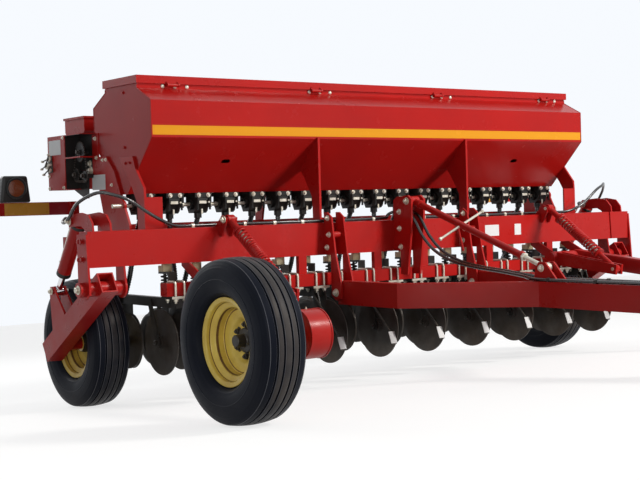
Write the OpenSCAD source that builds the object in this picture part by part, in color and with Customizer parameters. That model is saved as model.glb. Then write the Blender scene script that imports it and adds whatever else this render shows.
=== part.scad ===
// Pull-type seed drill, stood on its four wheels and the jack under its tongue.
// Millimetres. +X is the machine's left, -Y is forward, Z = 0 is the ground.
// Inside the modules Y = 0 is the front face of the grain box; stand() moves
// the whole machine so that the middle of its length is at Y = 0, and leans it
// nose-down by the little that its lowered rear wheels give it.

/* [Rows] */
// Number of seed rows
rows = 18; // [14:2:20]
// Distance between rows
row_pitch = 203.2; // [195:0.1:215]

/* [Stance] */
// Nose-down lean of the frame on its lowered rear wheels
pitch = 4.8; // [4.4:0.1:5.2]
// Height of the frame's datum above the ground
stand_z = 67.4; // [64:0.2:71]

/* [Grain box] */
// Front to rear depth of the box
box_depth = 720; // [680:1:760]
// Underside of the box
box_low_z = 1166; // [1140:1:1180]
// Height of the lower bend of the walls
box_bend_z = 1488; // [1460:1:1500]
// Height of the upper bend of the walls
box_corner_z = 1706; // [1680:1:1720]
// Height of the foot of the neck
box_neck_z = 1788; // [1780:1:1795]
// Height of the top of the neck
box_rim_z = 1858; // [1852:1:1870]
// Distance of the neck from the front and rear walls
box_neck_in = 161; // [150:1:170]
// Width of the flat bottom
box_floor_w = 100; // [90:1:110]
// Thickness of the box sheet
sheet_t = 5; // [4:0.5:6]
// Thickness of the end panels
end_t = 6; // [5:0.5:8]
// Depth of the skirt of the lid
lid_skirt = 47; // [44:1:50]

/* [Frame] */
// Length of the main tube
tube_len = 4572; // [4560:1:4590]
// Depth of the main tube, front to rear
tube_d = 102; // [96:1:108]
// Height of the main tube
tube_h = 203; // [195:1:207]
// Underside of the main tube
tube_z = 753; // [745:1:758]
// Front face of the main tube
tube_y = -43; // [-50:1:-40]
// Side of the square opener bar
bar_w = 76; // [70:1:78]
// Underside of the opener bar
bar_z = 564; // [560:1:570]
// Front face of the opener bar
bar_y = -76; // [-78:1:-72]
// Half length of the opener bar
bar_half = 1810; // [1800:1:1820]
// Thickness of plates
plate_t = 12; // [10:1:14]

/* [Wheels] */
// Outside diameter of the tyres
tyre_d = 777; // [750:1:790]
// Width of the tyres
tyre_w = 241; // [236:1:250]
// Sideways position of the front wheels
front_x = 2276; // [2270:1:2284]
// Fore-and-aft position of the front axle
front_y = -1545; // [-1560:1:-1530]
// Sideways position of the rear wheels
rear_x = 2004; // [2000:1:2008]
// Fore-and-aft position of the rear axle
rear_y = 591; // [585:1:597]
// Radius of the wheel spindles
spindle_r = 25; // [22:0.5:28]

/* [Rear lift] */
// Fore-and-aft position of the rockshaft
rock_y = -7; // [-10:1:-4]
// Height of the rockshaft
rock_z = 632; // [628:1:636]
// Radius of the rockshaft
rock_r = 42; // [38:1:44]
// Width of the lift arm
arm_w = 100; // [92:1:102]
// Height of the lift arm
arm_h = 122; // [114:1:126]
// Upper pin of the lift cylinder, fore-and-aft
cyl_top_y = 244; // [240:1:248]
// Upper pin of the lift cylinder, height
cyl_top_z = 1015; // [1011:1:1019]
// Lower pin of the lift cylinder, fore-and-aft
cyl_low_y = 562; // [558:1:566]
// Lower pin of the lift cylinder, height
cyl_low_z = 598; // [594:1:602]
// Radius of the cylinder barrel
barrel_r = 42; // [38:1:44]
// Radius of the piston rod
rod_r = 19; // [16:0.5:20]

/* [Hitch] */
// Sideways position of the hitch legs
leg_x = 585; // [583:1:588]
// Width of the hitch legs
leg_w = 76; // [70:1:78]
// Underside of the hitch frame
hitch_z = 443; // [440:1:446]
// Height of the hitch frame
hitch_h = 147; // [143:1:151]
// Hitch hinge, fore-and-aft
hinge_y = -150; // [-153:1:-148]
// Front corner of the legs
corner_y = -720; // [-730:1:-700]
// Front of the diagonals
join_y = -1335; // [-1345:1:-1325]
// Front end of the tongue beam
tongue_y = -2790; // [-2850:1:-2750]
// Half width of the tongue beam
tongue_half = 70; // [66:1:74]
// Mast pin, fore-and-aft
mast_y = -175; // [-180:1:-170]
// Mast pin, height
mast_z = 1079; // [1072:1:1086]
// Tongue bracket pin, fore-and-aft
screw_y = -1330; // [-1335:1:-1325]
// Tongue bracket pin, height
screw_z = 667; // [663:1:671]
// Radius of the hitch pin hole
hitch_r = 16.5; // [14:0.5:18]

/* [Openers] */
// Radius of the coulter blades
coulter_r = 198; // [190:1:200]
// Radius of the disc blades
disc_r = 171; // [165:1:173]
// Radius of the press wheels
press_r = 165; // [160:1:168]
// Height of the lowest point of the openers
opener_low = 90; // [86:1:96]
// Distance between the front and rear ranks
rank_step = 300; // [295:1:310]
// Coulter axle of the front rank
coulter_y = -150; // [-152:1:-148]

/* [Small seeds box] */
// Front face of the small seeds box
small_y = 866; // [862:1:870]
// Depth of the small seeds box
small_d = 274; // [266:1:280]
// Bend of its walls
small_bend_z = 1581; // [1575:1:1585]
// Top of its walls
small_rim_z = 1670; // [1665:1:1674]

/* [Hidden] */

// Colours
red = "#b3161c";
dark = "#1c1c1e";
steel = "#9a9c9f";
zinc = "#c9c6bd";
mustard = "#c9a93a";
black_rubber = "#22242a";
amber = "#d9861c";

// Clearances
gap = 0.3;
fit = 0.05;
swing = 5;

// Sizes worked out from the driving ones
box_len = rows * row_pitch;
box_half = box_len / 2;
tube_half = tube_len / 2;
tube_top = tube_z + tube_h;
tube_back = tube_y + tube_d;
bar_top = bar_z + bar_w;
bar_back = bar_y + bar_w;
side_w = 66;
side_x = box_half + end_t;
side_z = 803;
side_h = 102;
side_top = side_z + side_h;
rear_tube_y = 1112;
rear_tube_back = rear_tube_y + side_h;
board_d = 240;
board_t = 30;
board_half = 1500;
tyre_r = tyre_d / 2;
hitch_pin_y = tongue_y - 110;
ear_r = 50;
ear_t = 25;
ear_gap = 55;
ear_z = hitch_z + 8;
ear_top = ear_z + 2 * ear_t + ear_gap;
rear_end_y = rear_tube_back + board_d;
tip_y = (hitch_pin_y - ear_r) * cos(pitch) - ear_top * sin(pitch);
tail_y = rear_end_y * cos(pitch) - (side_z + 20) * sin(pitch);
mid_y = (tip_y + tail_y) / 2;
// Height of an axle over the datum at which its tyre stands on the ground
function axle_h(y) = (tyre_r - stand_z - y * sin(pitch)) / cos(pitch);
hinge_z = hitch_z + hitch_h / 2;
hitch_top = hitch_z + hitch_h;
leg_end_r = 54;

module stand() {
  translate([0, -mid_y, stand_z]) rotate([pitch, 0, 0]) children();
}

module both() {
  children();
  mirror([1, 0, 0]) children();
}

// Flips a right-hand piece over to the left of the machine
module side(left) {
  if (left) mirror([1, 0, 0]) children();
  else children();
}

// Plate in the Y-Z plane, from x to x + t
module plate_x(x, t) {
  translate([x, 0, 0]) rotate([90, 0, 90]) linear_extrude(t) children();
}

// Plate in the X-Z plane, from y to y + t
module plate_y(y, t) {
  translate([0, y + t, 0]) rotate([90, 0, 0]) linear_extrude(t) children();
}

module block(x0, x1, y0, y1, z0, z1) {
  translate([x0, y0, z0]) cube([x1 - x0, y1 - y0, z1 - z0]);
}

// Round bar along X
module rod_x(x0, x1, y, z, r) {
  translate([x0, y, z]) rotate([0, 90, 0]) cylinder(r = r, h = x1 - x0, $fn = 48);
}

// Round bar from one point of the Y-Z plane to another, at x
module rod_yz(x, a, b, r) {
  d = b - a;
  translate([x, a[0], a[1]]) rotate([atan2(d[1], d[0]), 0, 0]) rotate([-90, 0, 0])
    cylinder(r = r, h = norm(d), $fn = 48);
}

// Outline of a straight link between two points, in the Y-Z plane
function link_points(a, b, wa, wb) =
  let (d = (b - a) / norm(b - a), n = [-d[1], d[0]])
  [a + n * wa, a - n * wa, b - n * wb, b + n * wb];

/* Rows and ranks: even rows are the rear rank, odd rows the front rank */
function row_x(i) = (i - (rows - 1) / 2) * row_pitch;
function is_front(i) = i % 2 == 1;
function rank_y(i) = is_front(i) ? 0 : rank_step;
row_list = [for (i = [0:rows - 1]) i];
front_rows = [for (i = row_list) if (is_front(i)) i];
rear_rows = [for (i = row_list) if (!is_front(i)) i];

// Outer outline of the grain box, front half then rear half
box_mid = box_depth / 2;
box_front = [
  [box_mid - box_floor_w / 2, box_low_z],
  [0, box_bend_z],
  [0, box_corner_z],
  [box_neck_in, box_neck_z],
  [box_neck_in, box_rim_z]
];
function mirror_y(points, mid) = [for (i = [len(points) - 1:-1:0]) [2 * mid - points[i][0], points[i][1]]];
box_outline = concat(box_front, mirror_y(box_front, box_mid));

// Inner outline: each wall moved in by the sheet thickness
wall_slope = (box_bend_z - box_low_z) / (box_mid - box_floor_w / 2);
wall_run = sheet_t * sqrt(1 + 1 / (wall_slope * wall_slope));
roof_slope = (box_neck_z - box_corner_z) / box_neck_in;
box_inner_front = [
  [box_mid - box_floor_w / 2 + wall_run - sheet_t / wall_slope, box_low_z + sheet_t],
  [sheet_t, box_bend_z + (wall_run - sheet_t) * wall_slope],
  [sheet_t, box_corner_z - sheet_t * (sqrt(1 + roof_slope * roof_slope) - roof_slope)],
  [box_neck_in + sheet_t, box_neck_z - sheet_t * (sqrt(1 + roof_slope * roof_slope) - roof_slope)],
  [box_neck_in + sheet_t, box_rim_z + 1]
];
box_inner = concat(box_inner_front, mirror_y(box_inner_front, box_mid));

// Oval sight holes in the sloping front wall
sight_list = [-1250, 1250];
sight_z = 1351;
sight_r = 17;
sight_half = 14;
module sight_hole(x) {
  translate([x, (box_bend_z - sight_z) / wall_slope, sight_z]) rotate([90 + atan(1 / wall_slope), 0, 0])
    translate([0, 0, -20]) linear_extrude(40) union() {
      for (k = [-1, 1]) translate([k * sight_half, 0]) circle(r = sight_r, $fn = 48);
      square([2 * sight_half, 2 * sight_r], center = true);
    }
}

module hopper() {
  color(red) stand() difference() {
    plate_x(-box_half, box_len) difference() {
      polygon(box_outline);
      polygon(box_inner);
    }
    for (x = sight_list) sight_hole(x);
  }
}

module hopper_ends() {
  color(red) stand() both() plate_x(-box_half - end_t, end_t) polygon(box_outline);
}

// Lid of the grain box, hinged on its front edge and opened forward
lid_out = 14;
lid_y0 = box_neck_in - lid_out;
lid_y1 = box_depth - box_neck_in + lid_out;
lid_t = 4;
lid_half = box_half + end_t + 10;
lid_low = box_rim_z + lid_t - lid_skirt;
lid_hinge_y = lid_y0 - 8;
lid_hinge_z = lid_low - 8;
hinge_list = [-1600, -530, 530, 1600];
knuckle_half = 30;
lug_t = 12;

module lid() {
  color(red) stand() {
    difference() {
      block(-lid_half, lid_half, lid_y0, lid_y1, lid_low, box_rim_z + lid_t);
      block(-lid_half + lid_t, lid_half - lid_t, lid_y0 + lid_t, lid_y1 - lid_t, lid_low - 1, box_rim_z);
    }
    for (x = hinge_list) for (s = [0, 1])
      plate_x(x + (s == 0 ? knuckle_half + 1 : -knuckle_half - 1 - lug_t), lug_t) difference() {
        union() {
          translate([lid_hinge_y, lid_hinge_z]) circle(r = 12, $fn = 48);
          translate([lid_hinge_y, lid_hinge_z]) square([lid_y0 - lid_hinge_y, 22]);
        }
        translate([lid_hinge_y, lid_hinge_z]) circle(r = 6 + fit, $fn = 48);
      }
  }
}

module lid_hinges() {
  color(red) stand() for (x = hinge_list) {
    plate_x(x - knuckle_half, 2 * knuckle_half) union() {
      translate([lid_hinge_y, lid_hinge_z]) circle(r = 10, $fn = 48);
      translate([lid_hinge_y, lid_hinge_z - 9]) square([box_neck_in - lid_hinge_y, 8]);
    }
    rod_x(x - knuckle_half - lug_t - 1, x + knuckle_half + lug_t + 1, lid_hinge_y, lid_hinge_z, 6);
  }
}

// Main tube and the plates that hang from its ends
outer_plate_x = tube_half + 4;
arm_x0 = rear_x + tyre_w / 2 + 11.5;
inner_hang_x = arm_x0 - 80;
cyl_x = arm_x0 + arm_w / 2;

module main_tube() {
  color(red) stand() block(-tube_half, tube_half, tube_y, tube_back, tube_z, tube_top);
}

goose_pin = [cyl_top_y, cyl_top_z];
rock_pin = [rock_y, rock_z];
goose_points = [
  [-30, tube_top], [-24, 1000], [20, 1048], [110, 1062], goose_pin + [14, 36], goose_pin + [38, 4],
  goose_pin + [20, -34], goose_pin + [-70, -30], [110, 985], [74, 968], [tube_back, tube_top]
];
goose_out = 49;

module pin_hole(p, r) {
  translate(p) circle(r = r, $fn = 48);
}

module tube_plates() {
  color(red) stand() both() {
    // Outer plate: covers the tube's end, carries the rockshaft and the lift cylinder
    plate_x(-outer_plate_x - plate_t, plate_t) difference() {
      union() {
        polygon([[tube_y - 10, tube_top - 16], [tube_back, tube_top - 16], [56, rock_z - 30], [-78, rock_z - 30]]);
        translate(rock_pin) circle(r = rock_r + 16, $fn = 64);
      }
      pin_hole(rock_pin, rock_r + fit);
    }
    // Packing between the tube's end and the outer plate
    block(-outer_plate_x, -tube_half, tube_y + 10, tube_back - 10, tube_z + 20, tube_top - 20);
    // Wrap plate on the front of the tube's end
    plate_y(tube_y - 8, 8) polygon([
      [-outer_plate_x, tube_z], [-outer_plate_x, tube_top], [-arm_x0 + 50, tube_top], [-arm_x0 + 36, tube_z]
    ]);
    // Inner hanger of the rockshaft
    plate_x(-inner_hang_x - plate_t, plate_t) difference() {
      union() {
        polygon([[tube_y, tube_z], [tube_back - 10, tube_z], [50, rock_z], [-64, rock_z]]);
        translate(rock_pin) circle(r = rock_r + 16, $fn = 64);
      }
      pin_hole(rock_pin, rock_r + fit);
    }
    // Bent plates and pin that hold the lift cylinder
    for (s = [0, 1]) plate_x(-cyl_x + (s == 0 ? goose_out : -goose_out - plate_t), plate_t) polygon(goose_points);
    rod_x(-cyl_x - goose_out - plate_t - 8, -cyl_x + goose_out + plate_t + 8, cyl_top_y, cyl_top_z, 16);
  }
}

module toolbar() {
  color(red) stand() {
    block(-bar_half, bar_half, bar_y, bar_back, bar_z, bar_top);
    // Hangers under the main tube, midway between rows
    for (k = [-7, -4, -1, 1, 4, 7])
      block(k * row_pitch - 30, k * row_pitch + 30, tube_y, bar_back - 12, bar_top, tube_z);
  }
}

module side_members() {
  color(red) stand() both()
    block(-side_x, -side_x + side_w, tube_back, rear_tube_y, side_z, side_top);
}

module rear_tube() {
  color(red) stand() block(-side_x, side_x, rear_tube_y, rear_tube_back, side_z, side_top);
}

// Cross beam on the side members under the rear of the box
beam_y = 640;
beam_w = 76;
module box_beam() {
  color(red) stand() block(-side_x, side_x, beam_y, beam_y + beam_w, side_top, side_top + beam_w);
}

// Upright plates between the main tube or the cross beam and the box walls
saddle_list = [-640, 640];
saddle_t = 16;
function wall_z(y) = box_bend_z - y * wall_slope;
function rear_wall_z(y) = box_bend_z - (box_depth - y) * wall_slope;
module box_saddles() {
  color(red) stand() for (x = saddle_list) {
    plate_x(x - saddle_t / 2, saddle_t) polygon([
      [-14, tube_top], [-14, box_bend_z + 8], [0, box_bend_z + 8], [0, box_bend_z],
      [185, wall_z(185)], [150, 1260], [62, 1120], [tube_back, tube_top]
    ]);
    plate_x(x - saddle_t / 2, saddle_t) polygon([
      [beam_y, side_top + beam_w], [beam_y - 40, 1160], [520, rear_wall_z(520)], [690, rear_wall_z(690)],
      [beam_y + beam_w, 1240], [beam_y + beam_w, side_top + beam_w]
    ]);
  }
}

// Legs that carry the ends of the box
leg_t = 15;
module end_legs() {
  color(red) stand() both() {
    plate_x(-box_half - end_t - leg_t, leg_t) polygon([
      [85, side_z + 8], [85, 1142], [89, 1197], [182, 1313], [214, 1387], [384, 1387], [228, 1200], [172, 1110],
      [168, side_z + 8]
    ]);
    plate_x(-box_half - end_t - leg_t, leg_t) difference() {
      union() {
        polygon([
          [268, side_z + 8], [275, 978], [448, 1306], [550, 1403], [655, 1403], [368, 1054], [356, side_z + 8]
        ]);
        translate([shaft_y, shaft_z]) circle(r = 34, $fn = 48);
      }
      translate([shaft_y, shaft_z]) circle(r = shaft_r + gap, $fn = 48);
    }
    // Gusset behind the rear leg
    plate_x(-box_half - end_t - 8, 8) polygon([
      [360, side_z + 8], [360, 1040], [645, 1390], [660, 1390], [660, 1180], [605, 1020], [605, side_z + 8]
    ]);
    // Front flange of the front leg
    block(-box_half - end_t, -box_half + 100, 85, 97, side_top + 1, 1142);
  }
}

// Feed cups under the box
cup_w = 96;
cup_z0 = 1040;
bank_w = 90;
bank_y0 = 425;
bank_y1 = 500;
shaft_y = box_mid;
shaft_z = 1095;
shaft_r = 12.7;
module feed_cups() {
  color(dark) stand() for (i = row_list) translate([row_x(i), 0, 0]) {
    plate_x(-cup_w / 2, cup_w) difference() {
      polygon([
        [box_mid - 65, box_low_z], [box_mid - 70, 1120], [box_mid - 40, cup_z0 + 12], [box_mid - 22, cup_z0],
        [box_mid + 30, cup_z0], [box_mid + 62, 1100], [box_mid + 58, box_low_z]
      ]);
      translate([shaft_y, shaft_z]) circle(r = shaft_r + gap, $fn = 48);
    }
    translate([0, box_mid, cup_z0 - 30]) cylinder(r = 24, h = 30, $fn = 48);
  }
  // Fertiliser cups of the rear bank, between the rows
  color(dark) stand() for (i = [0:rows - 2])
    plate_x(row_x(i) + row_pitch / 2 - bank_w / 2, bank_w) polygon([
      [bank_y0, rear_wall_z(bank_y0)], [bank_y1, rear_wall_z(bank_y1)], [bank_y1, 1130], [470, 1075], [430, 1075]
    ]);
}

module feed_shaft() {
  color(zinc) stand() rod_x(-box_half - end_t - 80, box_half + 20, shaft_y, shaft_z, shaft_r);
}

// Seed tubes from the cups down to the boots
tube_drop = cup_z0 - 30;
seed_r = 16;
function disc_y(i) = coulter_y + coulter_r + 30 + disc_r + rank_y(i);
module seed_tubes() {
  color(black_rubber) stand() for (i = row_list)
    difference() {
      rod_yz(row_x(i), [box_mid, tube_drop + 20], [disc_y(i) + 70, beam_z1 - 60], seed_r);
      block(row_x(i) - 40, row_x(i) + 40, -200, 1200, beam_z1 - 200, beam_z1);
      block(row_x(i) - 40, row_x(i) + 40, -200, 1200, tube_drop, tube_drop + 100);
    }
}

/* Openers */
beam_half = 24;
beam_z0 = 492;
beam_z1 = 548;
clamp_z = 548;
coulter_z = opener_low - 8 + coulter_r;
disc_z = opener_low + disc_r;
press_z = opener_low + press_r;
function c_y(i) = coulter_y + rank_y(i);
function press_y(i) = disc_y(i) + disc_r + press_r + 14;
disc_tilt = 4.5;
disc_t = 4;
disc_in = disc_r * sin(disc_tilt) + disc_t / 2 + 1;

module opener_clamps() {
  color(dark) stand() for (i = row_list) translate([row_x(i), 0, 0]) {
    block(-65, 65, bar_y - 18, bar_back + 18, clamp_z, bar_z);
    // Bracket that the spring bears on
    plate_x(-26, 52) polygon([
      [bar_back, bar_z], [bar_back + 10, bar_z], [bar_back + 10, 690], [bar_back + 118, 690],
      [bar_back + 118, 702], [bar_back, 702]
    ]);
  }
}

module opener_beams() {
  color(dark) stand() for (i = row_list) translate([row_x(i), 0, 0]) {
    yd = disc_y(i);
    yc = c_y(i);
    yp = press_y(i);
    block(-beam_half, beam_half, bar_y, yd + 100, beam_z0, beam_z1);
    // Coulter fork and its axle
    for (s = [-1, 1]) plate_x(s > 0 ? beam_half : -beam_half - 8, 8) difference() {
      union() {
        polygon(link_points([yc, coulter_z], [yc + 80, beam_z1 - 20], 22, 20));
        translate([yc, coulter_z]) circle(r = 26, $fn = 48);
      }
    }
    rod_x(-beam_half - 1, beam_half + 1, yc, coulter_z, 12);
    // Shank and boot between the disc blades
    plate_x(-6, 12) polygon([
      [yd - 50, beam_z0 + 1], [yd - 50, disc_z], [yd - 20, opener_low + 20], [yd + 70, opener_low + 16],
      [yd + 110, disc_z], [yd + 90, beam_z0 + 1]
    ]);
    // Press wheel fork and its axle
    block(-40, 40, yd + 60, yd + 100, beam_z0, beam_z1 - 4);
    for (s = [-1, 1]) plate_x(s > 0 ? 32 : -40, 8) union() {
      polygon(link_points([yd + 80, (beam_z0 + beam_z1) / 2], [yp, press_z], 24, 20));
      translate([yp, press_z]) circle(r = 26, $fn = 48);
    }
    rod_x(-33, 33, yp, press_z, 10);
  }
}

spring_y = bar_back + 88;
module opener_springs() {
  color(dark) stand() for (i = row_list)
    translate([row_x(i), spring_y, beam_z1]) {
      cylinder(r = 26, h = 690 - beam_z1, $fn = 48);
    }
}

// One disc blade with its hub, on the +X side of the shank
module blade() {
  difference() {
    translate([disc_in, 0, 0]) rotate([0, 0, -disc_tilt]) {
      translate([-disc_t / 2, 0, 0]) rotate([0, 90, 0]) cylinder(r = disc_r, h = disc_t, $fn = 96);
      rod_x(-20, 26, 0, 0, 30);
    }
    block(-60, 6 + gap, -90, 90, -90, 90);
  }
}

module disc_blades() {
  color(steel) stand() for (i = row_list) translate([row_x(i), disc_y(i), disc_z]) {
    blade();
    mirror([1, 0, 0]) blade();
  }
}

module coulter_rank(list) {
  color(steel) stand() for (i = list) translate([row_x(i), c_y(i), coulter_z]) difference() {
    union() {
      rod_x(-2.5, 2.5, 0, 0, coulter_r);
      rod_x(-22, 22, 0, 0, 38);
    }
    rod_x(-23, 23, 0, 0, 12 + fit);
  }
}
module coulters_front() { coulter_rank(front_rows); }
module coulters_rear() { coulter_rank(rear_rows); }

// Press wheel: a plain tyre on a dished wheel, drilled for its axle
press_profile = [
  [10 + fit, -29], [30, -29], [30, -10], [108, -8], [112, -20], [press_r - 20, -25], [press_r - 4, -20],
  [press_r, -8], [press_r, 8], [press_r - 4, 20], [press_r - 20, 25], [112, 20], [108, 8], [30, 10],
  [30, 29], [10 + fit, 29]
];
module press_rank(list) {
  color(black_rubber) stand() for (i = list) translate([row_x(i), press_y(i), press_z])
    rotate([0, 90, 0]) rotate_extrude($fn = 96) polygon(press_profile);
}
module press_wheels_front() { press_rank(front_rows); }
module press_wheels_rear() { press_rank(rear_rows); }

/* Small seeds box behind the grain box */
small_low_z = small_bend_z - 105;
small_mid = small_y + small_d / 2;
small_front = [
  [small_mid - 35, small_low_z], [small_y, small_bend_z], [small_y, small_rim_z]
];
small_outline = concat(small_front, mirror_y(small_front, small_mid));
small_t = 4;
small_inner_front = [
  [small_mid - 33, small_low_z + small_t + 1], [small_y + small_t, small_bend_z + 1], [small_y + small_t, small_rim_z + 1]
];
small_inner = concat(small_inner_front, mirror_y(small_inner_front, small_mid));
small_brackets = [-1500, -500, 500, 1500];

module small_box() {
  color(red) stand() {
    difference() {
      plate_x(-box_half, box_len) polygon(small_outline);
      plate_x(-box_half + small_t, box_len - 2 * small_t) polygon(small_inner);
    }
    for (x = small_brackets)
      block(x - 20, x + 20, box_depth, small_y, small_bend_z - 6, small_bend_z + 50);
    // Knuckles and pins of its lid
    for (x = small_hinge_list) {
      plate_x(x - small_knuckle, 2 * small_knuckle) union() {
        translate([small_hinge_y, small_hinge_z]) circle(r = 8, $fn = 48);
        translate([small_hinge_y, small_hinge_z - 7]) square([small_y + 1 - small_hinge_y, 6]);
      }
      rod_x(x - small_knuckle - 11, x + small_knuckle + 11, small_hinge_y, small_hinge_z, 5);
    }
  }
}

small_lid_out = 8;
small_lid_low = small_rim_z - 12;
small_hinge_y = small_y - small_lid_out - 9;
small_hinge_z = small_lid_low - 8;
small_hinge_list = [-1400, -470, 470, 1400];
small_knuckle = 24;
module small_box_lid() {
  y0 = small_y - small_lid_out;
  y1 = small_y + small_d + small_lid_out;
  color(red) stand() {
    difference() {
      block(-box_half - 8, box_half + 8, y0, y1, small_lid_low, small_rim_z + 3);
      block(-box_half - 5, box_half + 5, y0 + 3, y1 - 3, small_lid_low - 1, small_rim_z);
    }
    for (x = small_hinge_list) for (s = [small_knuckle + 1, -small_knuckle - 9]) plate_x(x + s, 8) difference() {
      union() {
        translate([small_hinge_y, small_hinge_z]) circle(r = 9, $fn = 48);
        translate([small_hinge_y, small_hinge_z]) square([y0 - small_hinge_y, 16]);
      }
      translate([small_hinge_y, small_hinge_z]) circle(r = 5 + fit, $fn = 48);
    }
  }
}

/* Drive case at the right-hand end */
case_y0 = 690;
case_y1 = 1150;
case_z0 = 1208;
case_z1 = 1552;
case_x0 = -box_half - end_t - 116;
case_x1 = -box_half - end_t;
case_t = 5;
case_split = 905;
module drive_case() {
  color(red) stand() {
    // Back plate, bolted to the end panel of the grain box
    block(case_x1 - case_t, case_x1, case_y0 - 28, case_y1, case_z0, case_z1);
    difference() {
      block(case_x0, case_x1 - case_t, case_y0, case_y1, case_z0, case_z1);
      block(case_x0 + case_t, case_x1 - case_t + 1, case_y0 + case_t, case_y1 - case_t, case_z0 + case_t, case_z1 - case_t);
      // The forward half has no cover and no floor
      block(case_x0 - 1, case_x1 - case_t + 1, case_y0 - 1, case_split, case_z0 - 1, case_z1 - case_t);
    }
  }
}

// Sprockets on their stub shafts: y, z, radius
sprocket_columns = ["y", "z", "radius"];
sprocket_list = [[800, 1440, 58], [858, 1300, 36], [742, 1290, 30]];
module drive_sprockets() {
  color(zinc) stand() for (s = sprocket_list) {
    rod_x(case_x1 - case_t - 70, case_x1 - case_t, s[0], s[1], 14);
    rod_x(case_x1 - case_t - 60, case_x1 - case_t - 52, s[0], s[1], s[2]);
  }
}

module walkboard() {
  color(dark) stand() {
    block(-board_half, board_half, rear_tube_back, rear_end_y, side_z + 20, side_z + 20 + board_t);
    // Brackets under the board
    for (x = [-1400, -500, 500, 1400]) plate_x(x - 6, 12) polygon([
      [rear_tube_back, side_z + 20], [rear_end_y - 30, side_z + 20], [rear_tube_back, side_z - 60]
    ]);
    for (x = [-1400, -500, 500, 1400])
      block(x - 6, x + 6, rear_tube_back - 40, rear_tube_back, side_z - 60, side_z);
  }
}

light_x0 = 1730;
light_x1 = 2310;
light_z = 1052;
light_h = 85;
module light_bars() {
  color(red) stand() both() {
    block(-light_x1, -light_x0, rear_tube_back, rear_tube_back + 20, light_z, light_z + light_h);
    block(-light_x0 - 60, -light_x0, rear_tube_back - 40, rear_tube_back, side_top, light_z + light_h);
  }
}

lamp_x = 2160;
lamp_w = 208;
lamp_h = 172;
module lamps() {
  color(dark) stand() both() difference() {
    union() {
      block(-lamp_x - lamp_w / 2, -lamp_x + lamp_w / 2, rear_tube_back - 25, rear_tube_back + 45,
        light_z + light_h, light_z + light_h + lamp_h);
      translate([-lamp_x, rear_tube_back - 25, light_z + light_h + lamp_h / 2]) rotate([90, 0, 0])
        cylinder(r = 62, h = 16, $fn = 64);
    }
  }
}

/* Front wheels: arm, drum and spindle, held by a coil strut */
torsion_y = -160;
torsion_z = 640;
front_arm_x = 1897;
lever_x = 1375;
lever_end = [-693, 574];
strut_top = [-90, 998];
drum_r = 120;
hub_in = 70;
hub_out = 36;
front_z = axle_h(front_y);
module front_arms() {
  color(red) stand() both() {
    difference() {
      rod_x(-1650, -1290, torsion_y, torsion_z, 48);
    }
    // Hangers of the torsion tube
    for (x = [-1640, -1322]) plate_x(x, plate_t) polygon([
      [tube_y, tube_z], [tube_back - 20, tube_z], [tube_back - 20, tube_z - 20], [-60, bar_top + 34],
      [bar_y - 28, bar_top + 10], [torsion_y + 40, torsion_z - 24], [torsion_y, torsion_z - 20],
      [torsion_y - 30, torsion_z + 40]
    ]);
    // Lever of the strut and arm of the wheel
    for (s = [0, 1]) plate_x(-lever_x + (s == 0 ? 20 : -36), 16)
      polygon(link_points([torsion_y, torsion_z], lever_end + [-30, -4], 46, 34));
    hull() {
      rod_x(-1618, -1548, torsion_y, torsion_z, 54);
      rod_x(-front_arm_x - 38, -front_arm_x + 38, front_y, front_z, 50);
    }
    rod_x(-front_arm_x - 60, -front_arm_x + 70, front_y, front_z, drum_r);
    rod_x(-front_x + hub_in + 1, -front_arm_x - 60, front_y, front_z, spindle_r + 13);
    rod_x(-front_x - hub_out + 6, -front_x + hub_in + 1, front_y, front_z, spindle_r);
  }
}

module front_struts() {
  color(red) stand() both() {
    // Clevis on the main tube, rod end, coil spring and lower seat
    for (s = [-1, 1]) plate_x(-lever_x + s * 34 - 6, 12) polygon([
      [tube_y, tube_top], [tube_y + 60, tube_top], [tube_y - 20, strut_top[1] + 26], strut_top + [-24, 10],
      strut_top + [-16, -24], [tube_y - 14, tube_top - 60], [tube_y, tube_top - 60]
    ]);
    rod_x(-lever_x - 42, -lever_x + 42, strut_top[0], strut_top[1], 12);
    rod_x(-lever_x - 24, -lever_x + 24, strut_top[0], strut_top[1], 28);
    rod_yz(-lever_x, strut_top, lever_end, 16);
    rod_x(-lever_x - 18, -lever_x + 18, lever_end[0], lever_end[1], 28);
    rod_x(-lever_x - 20, -lever_x + 20, lever_end[0], lever_end[1], 12);
    rod_yz(-lever_x, strut_top + (lever_end - strut_top) * 0.18, strut_top + (lever_end - strut_top) * 0.74, 38);
  }
}

/* Hitch: brackets on the main tube */
bracket_t = 12;
leg_play = 3;
module hitch_brackets() {
  color(red) stand() {
    both() for (s = [0, 1])
      plate_x(-leg_x + (s == 0 ? leg_w / 2 + leg_play : -leg_w / 2 - leg_play - bracket_t), bracket_t) polygon([
        [tube_y, tube_z], [tube_y, 1021], [-76, 1021], [-118, 990], [-150, 760], [-205, 560],
        [-205, 480], [-140, 470], [-104, 500], [-104, tube_z]
      ]);
    // Hinge pins and spacer tubes between the plates
    both() {
      rod_x(-leg_x - leg_w / 2 - leg_play - 1, -leg_x + leg_w / 2 + leg_play + 1, hinge_y, hinge_z, 16);
      rod_x(-leg_x - leg_w / 2 - leg_play - 1, -leg_x + leg_w / 2 + leg_play + 1, -90, 880, 20);
    }
    // Mast plates and the pin of the turnbuckle
    both() plate_x(-61, 16) polygon([
      [tube_y, tube_z], [tube_y, 1085], [-80, 1109], [-190, 1116], [-222, 1090], [-215, 900], [-170, 600],
      [-104, 600], [-104, tube_z]
    ]);
    rod_x(-46, 46, mast_y, mast_z, 16);
  }
}

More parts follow.
